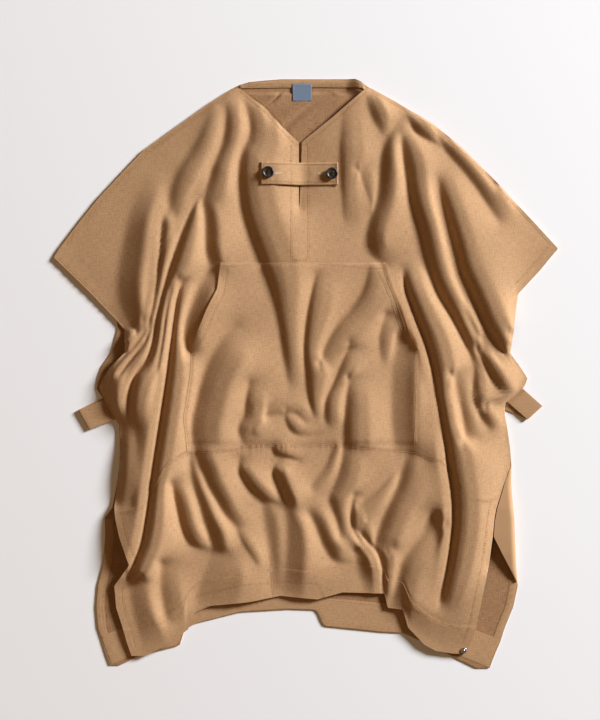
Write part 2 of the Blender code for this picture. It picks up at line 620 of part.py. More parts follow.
def front_grid(rows, point, seam_row=None, seam_shift=0.0, joined_from=0):
    """Points and point numbers of both halves, joined at the centre from one row on."""
    shares = column_shares()
    points = []
    numbers = []
    for index, row in enumerate(rows):
        line = []
        for share in shares:
            line.append(len(points))
            points.append(point(row, share, "left"))
        right_shares = list(reversed(shares))
        if index >= joined_from:
            right_shares = right_shares[1:]
        for share in right_shares:
            line.append(len(points))
            points.append(point(row, share, "right"))
        numbers.append(line)
        if index == seam_row:
            first = line[0]
            points[first:] = [(x, y + seam_shift) for x, y in points[first:]]
    return np.array(points, float), numbers


def half_rows(numbers, half, first_row, last_row):
    """The part of each row that belongs to one half of the front."""
    size = SIDE_COLUMNS + POCKET_COLUMNS + 1
    rows = []
    for line in numbers[first_row:last_row]:
        rows.append(line[:size] if half == "left" else line[-size:])
    return rows


def make_front():
    """The upper front, the pocket that lies on it and the skirt."""
    levels = upper_levels()
    slit_row = levels.index(SLIT_END)
    last = len(levels) - 1
    points, numbers = front_grid(levels, upper_point, last, SEAM_HALF_GAP, slit_row)
    x, y = points.T
    top, under = cloth_faces(x, y)
    quads = []
    for half in ("left", "right"):
        quads += grid_quads(half_rows(numbers, half, 0, len(levels)))
    make_wall("front_upper", np.column_stack([x, y, top]), np.column_stack([x, y, under]), quads)

    first_row = levels.index(POCKET_TOP)
    pocket_rows = [line[SIDE_COLUMNS:len(line) - SIDE_COLUMNS] for line in numbers[first_row:]]
    used = sorted({number for line in pocket_rows for number in line})
    renumber = {number: index for index, number in enumerate(used)}
    pocket_numbers = [[renumber[number] for number in line] for line in pocket_rows]
    pocket_under = top[used] + GAP
    slope = (top - under)[used] / CLOTH
    pocket_top = pocket_under + POCKET_CLOTH * np.maximum(slope, 1.0)
    make_wall("pocket", np.column_stack([x[used], y[used], pocket_top]),
              np.column_stack([x[used], y[used], pocket_under]), grid_quads(pocket_numbers))

    runs = list(np.linspace(0, 1, LOWER_ROWS + 1))
    points, numbers = front_grid(runs, lower_point, 0, -SEAM_HALF_GAP)
    x, y = points.T
    top, under = cloth_faces(x, y)
    hem_line = across(FRONT_HEM, x) + HEM_DEPTH
    top = top + HEM_STEP * smooth_step((hem_line - y) / HEM_EDGE)
    make_wall("front_lower", np.column_stack([x, y, top]), np.column_stack([x, y, under]),
              grid_quads(numbers))


def back_levels():
    """Levels of the back's rows: the outline's own, then the turned side's, then the hem's."""
    levels = [float(row.y) for row in SECTIONS if row.y > TURNED_SIDE[0].y and row.y != SIDE_NOTCH]
    levels += [float(row.y) for row in TURNED_SIDE]
    return levels + [HEM_MIDDLE + step for step in (40.0, 20.0, 0.0, -20.0, -40.0)]


def make_back():
    """The back: flat on the surface, with its side turned over to the front low on the right."""
    outer = []
    inner = []
    numbers = []
    levels = back_levels()
    bend_from = TURNED_SIDE[-1].y
    for level in levels:
        line = []
        for share in np.linspace(0, 1, BACK_COLUMNS + 1):
            place = mix(outline(level, "back_left"), outline(level, "back_right"), share)
            run = max(bend_from - level, 0.0) / (bend_from - levels[-1])
            bent = mix(level, across(BACK_HEM, place), run ** 2) if run else level
            place = mix(outline(bent, "back_left"), outline(bent, "back_right"), share)
            line.append(len(outer))
            inner.append((place, bent, CLOTH))
            outer.append((place, bent, 0.0))
        numbers.append(line)
    quads = grid_quads(numbers)
    edge_numbers = [numbers[levels.index(float(row.y))][-1] for row in TURNED_SIDE]
    quads += grid_quads(turned_side(edge_numbers, outer, inner))
    make_wall("back", inner, outer, quads)


def turned_side(edge_numbers, outer, inner):
    """Add the cloth that turns over at the back's right edge, and give its point numbers by row."""
    numbers = []
    for edge_number, row in zip(edge_numbers, TURNED_SIDE):
        edge = outer[edge_number][0]
        inner[edge_number] = (edge - CLOTH, row.y, CLOTH)
        width = edge - (row.x + TURNED_GAP)
        line = [edge_number]
        for angle in TURN_ANGLES:
            turn = math.radians(angle)
            out = CLOTH / 2 * math.cos(turn)
            up = CLOTH / 2 * math.sin(turn)
            middle_x = edge - CLOTH / 2 - min(width, TURN_WIDTH) * (1 - math.cos(turn))
            middle_z = CLOTH / 2 + (row.z - CLOTH / 2) * math.sin(turn)
            line.append(len(outer))
            outer.append((middle_x + out, row.y, middle_z + up))
            inner.append((middle_x - out, row.y, middle_z - up))
        line.append(len(outer))
        outer.append((row.x + TURNED_GAP, row.y, row.z + CLOTH / 2))
        inner.append((row.x + TURNED_GAP, row.y, row.z - CLOTH / 2))
        numbers.append(line)
    return numbers


def make_neck_band():
    """The band along the top of the back's inside."""
    places = np.linspace(NECK_BAND_TOP[0][0] + BAND_INSET, NECK_BAND_TOP[-1][0] - BAND_INSET, 15)
    outer = []
    inner = []
    for place in places:
        upper = across(NECK_BAND_TOP, place)
        for level in (upper, min(upper - BAND_END_DEPTH, NECK_BAND_BOTTOM)):
            outer.append((place, level, CLOTH + GAP + BAND_CLOTH))
            inner.append((place, level, CLOTH + GAP))
    quads = [[2 * i + 1, 2 * i + 3, 2 * i + 2, 2 * i] for i in range(len(places) - 1)]
    make_wall("neck_band", outer, inner, quads)


def make_label():
    """The bare neck label: sewn over the band, its lower end down on the back."""
    band_top = CLOTH + GAP + BAND_CLOTH
    levels = [(LABEL_TOP, band_top + GAP), (NECK_BAND_BOTTOM - BAND_CLOTH, band_top + GAP),
              (LABEL_BOTTOM, CLOTH + GAP)]
    outer = []
    inner = []
    for level, under in levels:
        for place in (LABEL_LEFT, LABEL_RIGHT):
            outer.append((place, level, under + LABEL_CLOTH))
            inner.append((place, level, under))
    make_wall("label", outer, inner, [[2, 3, 1, 0], [4, 5, 3, 2]], colour="label", roughness=0.6)


def tab_under(x, y):
    """Heights of the tab's underside: just clear of the highest cloth around each point."""
    x = np.asarray(x, float)
    y = np.asarray(y, float)
    highest = np.zeros(x.shape)
    for right in (-TAB_SPAN, 0.0, TAB_SPAN):
        for up in (-TAB_SPAN, 0.0, TAB_SPAN):
            highest = np.maximum(highest, cloth_faces(x + right, y + up)[0])
    return highest + GAP * 2


def make_tab():
    """The neck tab across the slit, and the two buttons on it."""
    columns = np.linspace(-TAB_LENGTH / 2, TAB_LENGTH / 2, 13)
    rows = np.linspace(TAB_WIDTH / 2, -TAB_WIDTH / 2, 5)
    right, up = np.meshgrid(TAB_CENTRE[0] + columns, TAB_CENTRE[1] + rows)
    x = right.ravel()
    y = up.ravel()
    under = tab_under(x, y)
    numbers = np.arange(x.size).reshape(right.shape).tolist()
    make_wall("neck_tab", np.column_stack([x, y, under + TAB_CLOTH]), np.column_stack([x, y, under]),
              grid_quads(numbers))
    for name, place in BUTTON_PLACES.items():
        make_button(name, place)


def make_button(name, place):
    """A turned button with a raised rim, a dish and four holes, set square on the tab."""
    radius = BUTTON_DIAMETER / 2
    reach = radius * BUTTON_REST
    x, y = place
    around = tab_under(x + np.array([0, reach, -reach, 0, 0]), y + np.array([0, 0, 0, reach, -reach]))
    middle, right, left, upper, lower = around
    lean_x = (right - left) / (2 * reach)
    lean_y = (upper - lower) / (2 * reach)
    seat = max(middle, (right + left) / 2, (upper + lower) / 2) + TAB_CLOTH + GAP * 2

    mesh = bmesh.new()
    bmesh.ops.create_cone(mesh, cap_ends=True, segments=36, radius1=radius * MM, radius2=radius * MM,
                          depth=BUTTON_THICKNESS * MM)
    bmesh.ops.translate(mesh, verts=mesh.verts, vec=(0, 0, BUTTON_THICKNESS / 2 * MM))
    rim = [edge for edge in mesh.edges if all(len(face.verts) > 3 for face in edge.link_faces)
           and abs(edge.verts[0].co.z - edge.verts[1].co.z) < 1e-7]
    bmesh.ops.bevel(mesh, geom=rim, offset=BUTTON_ROUNDING * MM, segments=2, profile=0.6, affect="EDGES")
    top = max(mesh.faces, key=lambda face: face.calc_center_median().z)
    bmesh.ops.inset_individual(mesh, faces=[top], thickness=BUTTON_RIM * MM, depth=0.0)
    bmesh.ops.inset_individual(mesh, faces=[top], thickness=BUTTON_DISH * MM, depth=-BUTTON_DISH * MM)
    data = bpy.data.meshes.new(name)
    mesh.to_mesh(data)
    mesh.free()
    data.shade_smooth()
    data.set_sharp_from_angle(angle=math.radians(40))
    data.materials.append(make_material(name, COLOURS["button"], BUTTON_ROUGHNESS))
    button = bpy.data.objects.new(name, data)
    bpy.context.collection.objects.link(button)

    drill = bmesh.new()
    offset = BUTTON_HOLE_SPREAD / 2 * MM
    for sign_x in (-1, 1):
        for sign_y in (-1, 1):
            place_matrix = Matrix.Translation((sign_x * offset, sign_y * offset, BUTTON_THICKNESS / 2 * MM))
            bmesh.ops.create_cone(drill, cap_ends=True, segments=12, radius1=BUTTON_HOLE / 2 * MM,
                                  radius2=BUTTON_HOLE / 2 * MM, depth=BUTTON_THICKNESS * 2 * MM,
                                  matrix=place_matrix)
    drill_data = bpy.data.meshes.new(name + "_holes")
    drill.to_mesh(drill_data)
    drill.free()
    holes = bpy.data.objects.new(name + "_holes", drill_data)
    holes.hide_render = True
    holes.display_type = "WIRE"
    bpy.context.collection.objects.link(holes)
    cut = button.modifiers.new("holes", "BOOLEAN")
    cut.operation = "DIFFERENCE"
    cut.object = holes

    normal = Vector((-lean_x, -lean_y, 1.0)).normalized()
    turn = Vector((0, 0, 1)).rotation_difference(normal).to_matrix().to_4x4()
    stand = Matrix.Translation((x * MM, y * MM, seat * MM)) @ turn
    button.matrix_world = stand
    holes.matrix_world = stand


def make_loop(loop):
    """A strap folded in half, both ends in the side seam, with a bend at its outer end."""
    lower = (LOOP_LIFT, LOOP_CLOTH + LOOP_LIFT)
    upper = (lower[1] + LOOP_OPENING, lower[1] + LOOP_OPENING + LOOP_CLOTH)
    out = np.array(loop.end_top, float) - np.array(loop.seam_top, float)
    out = out / np.hypot(*out)
    shift = np.array(loop.lower_shift, float)
    stations = [
        (np.array(loop.seam_top) + shift, np.array(loop.seam_bottom) + shift, *lower),
        (np.array(loop.end_top) - out * LOOP_BEND, np.array(loop.end_bottom) - out * LOOP_BEND, *lower),
    ]
    bend_height = (lower[0] + upper[1]) / 2
    stations.append((np.array(loop.end_top), np.array(loop.end_bottom), bend_height, None))
    stations.append((np.array(loop.end_top) - out * LOOP_BEND, np.array(loop.end_bottom) - out * LOOP_BEND,
                     upper[1], upper[0]))
    stations.append((np.array(loop.seam_top, float), np.array(loop.seam_bottom, float), upper[1], upper[0]))
    outer = []
    inner = []
    for first, second, outside, inside in stations:
        for corner in (first, second):
            outer.append((*corner, outside))
            if inside is None:
                inner.append((*(corner - out * LOOP_CLOTH), outside))
            else:
                inner.append((*corner, inside))
    quads = [[2 * i, 2 * i + 1, 2 * i + 3, 2 * i + 2] for i in range(len(stations) - 1)]
    piece = make_wall(loop.name, outer, inner, quads)
    mesh = bmesh.new()
    mesh.from_mesh(piece.data)
    bmesh.ops.recalc_face_normals(mesh, faces=mesh.faces)
    mesh.to_mesh(piece.data)
    mesh.free()


def make_snap():
    """A domed metal snap on the hem corner, turned from a short profile."""
    x, y = SNAP_PLACE
    reach = np.linspace(-SNAP_REST, SNAP_REST, 3)
    around_x, around_y = np.meshgrid(reach, reach)
    top, _ = cloth_faces(x + around_x.ravel(), y + around_y.ravel())
    seat = float(top.max()) + HEM_STEP + GAP
    radius = SNAP_DIAMETER / 2
    profile = [(radius * share, height) for share, height in SNAP_PROFILE]
    count = SNAP_SIDES
    points = [(x, y, seat + profile[0][1]), (x, y, seat + profile[-1][1])]
    for out, up in profile[1:-1]:
        for index in range(count):
            turn = 2 * math.pi * index / count
            points.append((x + out * math.cos(turn), y + out * math.sin(turn), seat + up))
    rings = len(profile) - 2
    faces = []
    for index in range(count):
        after = (index + 1) % count
        faces.append((0, 2 + after, 2 + index))
        for ring in range(rings - 1):
            low = 2 + ring * count
            faces.append((low + index, low + after, low + count + after, low + count + index))
        last = 2 + (rings - 1) * count
        faces.append((1, last + index, last + after))
    make_piece("snap", points, faces, colour="metal", roughness=0.25, metallic=1.0)


clear_scene()
HEIGHTS = fold_sheet()
make_back()
make_front()
make_neck_band()
make_label()
make_tab()
for side_loop in LOOPS:
    make_loop(side_loop)
make_snap()
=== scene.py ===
# %% [markdown]
# # A pullover poncho, laid flat
# The real garment is brushed cotton: a front and a back with wide sleeves cut in one, a V neck with a
# slit, a buttoned tab, a kangaroo pocket, a skirt below the waist seam and a strap loop at each side.
# It lies on its back, so the back is flat and the front lies over it in long soft folds. Each cloth
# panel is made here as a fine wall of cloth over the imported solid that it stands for, and the small
# hard pieces are modelled as by hand.

import json
import math
from collections import namedtuple

import bpy
import numpy as np
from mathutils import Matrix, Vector
from mathutils.kdtree import KDTree

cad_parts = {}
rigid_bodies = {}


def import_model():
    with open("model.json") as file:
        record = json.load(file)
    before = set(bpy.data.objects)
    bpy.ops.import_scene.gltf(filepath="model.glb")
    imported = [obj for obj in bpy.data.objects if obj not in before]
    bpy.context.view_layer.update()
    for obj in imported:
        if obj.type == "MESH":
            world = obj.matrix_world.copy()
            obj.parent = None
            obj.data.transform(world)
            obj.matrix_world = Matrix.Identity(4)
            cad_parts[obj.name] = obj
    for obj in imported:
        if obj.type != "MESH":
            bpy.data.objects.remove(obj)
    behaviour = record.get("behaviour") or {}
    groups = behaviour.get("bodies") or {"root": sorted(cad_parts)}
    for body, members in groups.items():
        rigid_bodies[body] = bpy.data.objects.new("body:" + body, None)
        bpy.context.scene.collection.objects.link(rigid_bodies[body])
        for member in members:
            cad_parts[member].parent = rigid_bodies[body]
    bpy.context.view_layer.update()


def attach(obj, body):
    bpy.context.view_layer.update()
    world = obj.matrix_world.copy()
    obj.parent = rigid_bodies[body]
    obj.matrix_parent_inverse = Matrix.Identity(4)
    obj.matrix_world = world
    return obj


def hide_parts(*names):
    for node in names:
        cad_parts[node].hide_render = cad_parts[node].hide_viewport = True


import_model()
MM = 0.001

# %% [markdown]
# ## Colours and nodes
# Colours are written as sRGB hex values, as a picture editor shows them, and one function turns them
# into the linear values that shaders use. A second small function adds a node with its settings and
# links, so that a material reads as a list of steps.

# %% Colour and node helpers
def linear(hex_colour):
    """The linear RGBA of an sRGB hex colour."""
    values = [int(hex_colour[i:i + 2], 16) / 255 for i in (1, 3, 5)]
    return [v / 12.92 if v <= 0.04045 else ((v + 0.055) / 1.055) ** 2.4 for v in values] + [1.0]


def new_material(name):
    """A material with only its shader and output, and the two things that build it: tree and shader."""
    material = bpy.data.materials.new(name)
    material.use_nodes = True
    tree = material.node_tree
    return material, tree, tree.nodes["Principled BSDF"]


def add_node(tree, kind, links=None, values=None, **settings):
    """Add a node: links and values are given by socket, and settings are the node's own."""
    node = tree.nodes.new(kind)
    for key, value in settings.items():
        setattr(node, key, value)
    for socket, value in (values or {}).items():
        node.inputs[socket].default_value = value
    for socket, source in (links or {}).items():
        tree.links.new(source, node.inputs[socket])
    return node


def add_ramp(tree, source, stops):
    """A colour ramp over a value, from (place, colour) pairs."""
    ramp = add_node(tree, "ShaderNodeValToRGB", {0: source})
    while len(ramp.color_ramp.elements) < len(stops):
        ramp.color_ramp.elements.new(0.5)
    for element, (place, colour) in zip(ramp.color_ramp.elements, stops):
        element.position = place
        element.color = colour
    return ramp

# %% [markdown]
# ## The outline
# Each row of the table is a level down the garment, with the sides of the back and of the front at
# that level, in millimetres. Edges that cross the garment, such as the waist seam and the hems, are
# short lists of turning points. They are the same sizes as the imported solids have.

# %% Outline of the panels in millimetres
# CLOTH is the thickness of the front, and REST_ON the height of what it lies on.
CLOTH = 1.8
REST_ON = 2.4
SLIT_WIDTH = 5.0
HEM_DEPTH = 48.0
Section = namedtuple("Section", "y back_left front_left front_right back_right")
SECTIONS = [
    Section(500, -41, -41, 83, 83),
    Section(496, -94, -94, 92, 92),
    Section(490, -114, -114, 99, 99),
    Section(482, -129, -129, 114, 114),
    Section(462, -160, -160, 151, 151),
    Section(421, -218, -218, 219, 219),
    Section(380, -275, -275, 267, 267),
    Section(339, -314, -314, 309, 309),
    Section(298, -352, -352, 348, 348),
    Section(258, -384, -384, 386, 386),
    Section(212, -419, -419, 428, 428),
    Section(197, -428, -428, 415, 415),
    Section(176, -406, -406, 398, 398),
    Section(135, -364, -364, 360, 360),
    Section(90, -321, -321, 354, 354),
    Section(74, -320, -308, 352, 352),
    Section(35, -331, -307, 346, 346),
    Section(12, -347, -331, 363, 363),
    Section(-8, -354, -345, 376, 376),
    Section(-24, -357, -351, 370, 370),
    Section(-48, -341, -341, 339, 339),
    Section(-66, -331, -331, 337, 337),
    Section(-88, -317, -316, 341, 341),
    Section(-130, -316, -315, 347, 347),
    Section(-156, -317, -316, 347, 349),
    Section(-191, -322, -321, 334, 349),
    Section(-228, -329, -325, 322, 352),
    Section(-245, -342, -323, 319, 354),
    Section(-276, -341, -316, 316, 355),
    Section(-324, -345, -299, 310, 357),
    Section(-360, -354, -325, 302, 360),
    Section(-397, -357, -322, 295, 352),
    Section(-431, -354, -311, 288, 338),
    Section(-456, -346, -304, 280, 330),
    Section(-479, -339, -296, 269, 320),
    Section(-500, -331, -290, 262, 312),
]
NECK_LEFT = [(-112, 484), (-85, 463), (-65, 448), (-41, 419), (-12, 393)]
NECK_RIGHT = [(102, 484), (82, 467), (44, 434), (19, 414), (4, 402), (-7, 393)]
POCKET_LEFT = [(-145, 188), (-150, 144), (-168, 109), (-181, 77), (-194, 46), (-196, -4), (-207, -75),
               (-201, -132)]
POCKET_RIGHT = [(134, 188), (148, 144), (162, 110), (176, 62), (191, 38), (189, -60), (188, -132)]
WAIST_SEAM = [(-325, -234), (-289, -230), (-274, -221), (-235, -150), (-202, -132), (-121, -127),
              (-111, -122), (-77, -120), (75, -120), (84, -122), (136, -127), (188, -131), (206, -141),
              (231, -146), (280, -204), (297, -212), (321, -212)]
FRONT_HEM = [(-296, -479), (-245, -459), (-206, -433), (-201, -419), (-189, -405), (-162, -394),
             (-94, -387), (-43, -377), (19, -383), (61, -371), (131, -373), (138, -397), (164, -400),
             (177, -431), (211, -459), (236, -470), (271, -475)]
BACK_HEM = [(-332, -495), (-294, -480), (-219, -462), (-206, -436), (-185, -424), (-112, -405),
            (-33, -400), (19, -402), (30, -429), (128, -439), (166, -441), (228, -467), (311, -500)]

# Levels up the garment, and x of its middle line.
SHOULDER_POINT = 484.0
NECK_POINT = 393.0
SLIT_END = 280.0
POCKET_TOP = 188.0
WAIST = -120.0
CENTRE_LINE = -12.0
print("outline levels:", len(SECTIONS))

# %% Read the outline
def smooth_step(share):
    """A share from 0 to 1 that starts and ends softly."""
    share = np.clip(share, 0.0, 1.0)
    return share * share * (3.0 - 2.0 * share)


def mix(start, end, share):
    """The value at a share of the way from start to end."""
    return start + (end - start) * share


def down(points, level):
    """Read x at levels y from turning points that run down the garment."""
    table = np.array(sorted((y, x) for x, y in points), float)
    return np.interp(level, table[:, 0], table[:, 1])


def across(points, place):
    """Read y at places x from turning points that run across the garment."""
    table = np.array(points, float)
    return np.interp(place, table[:, 0], table[:, 1])


OUTLINE = {name: [(getattr(row, name), row.y) for row in SECTIONS] for name in Section._fields[1:]}


def outline(level, name):
    """Read x of one side of the outline at a level."""
    return down(OUTLINE[name], level)


print("width at the chest in mm:", outline(212, "front_right") - outline(212, "front_left"))
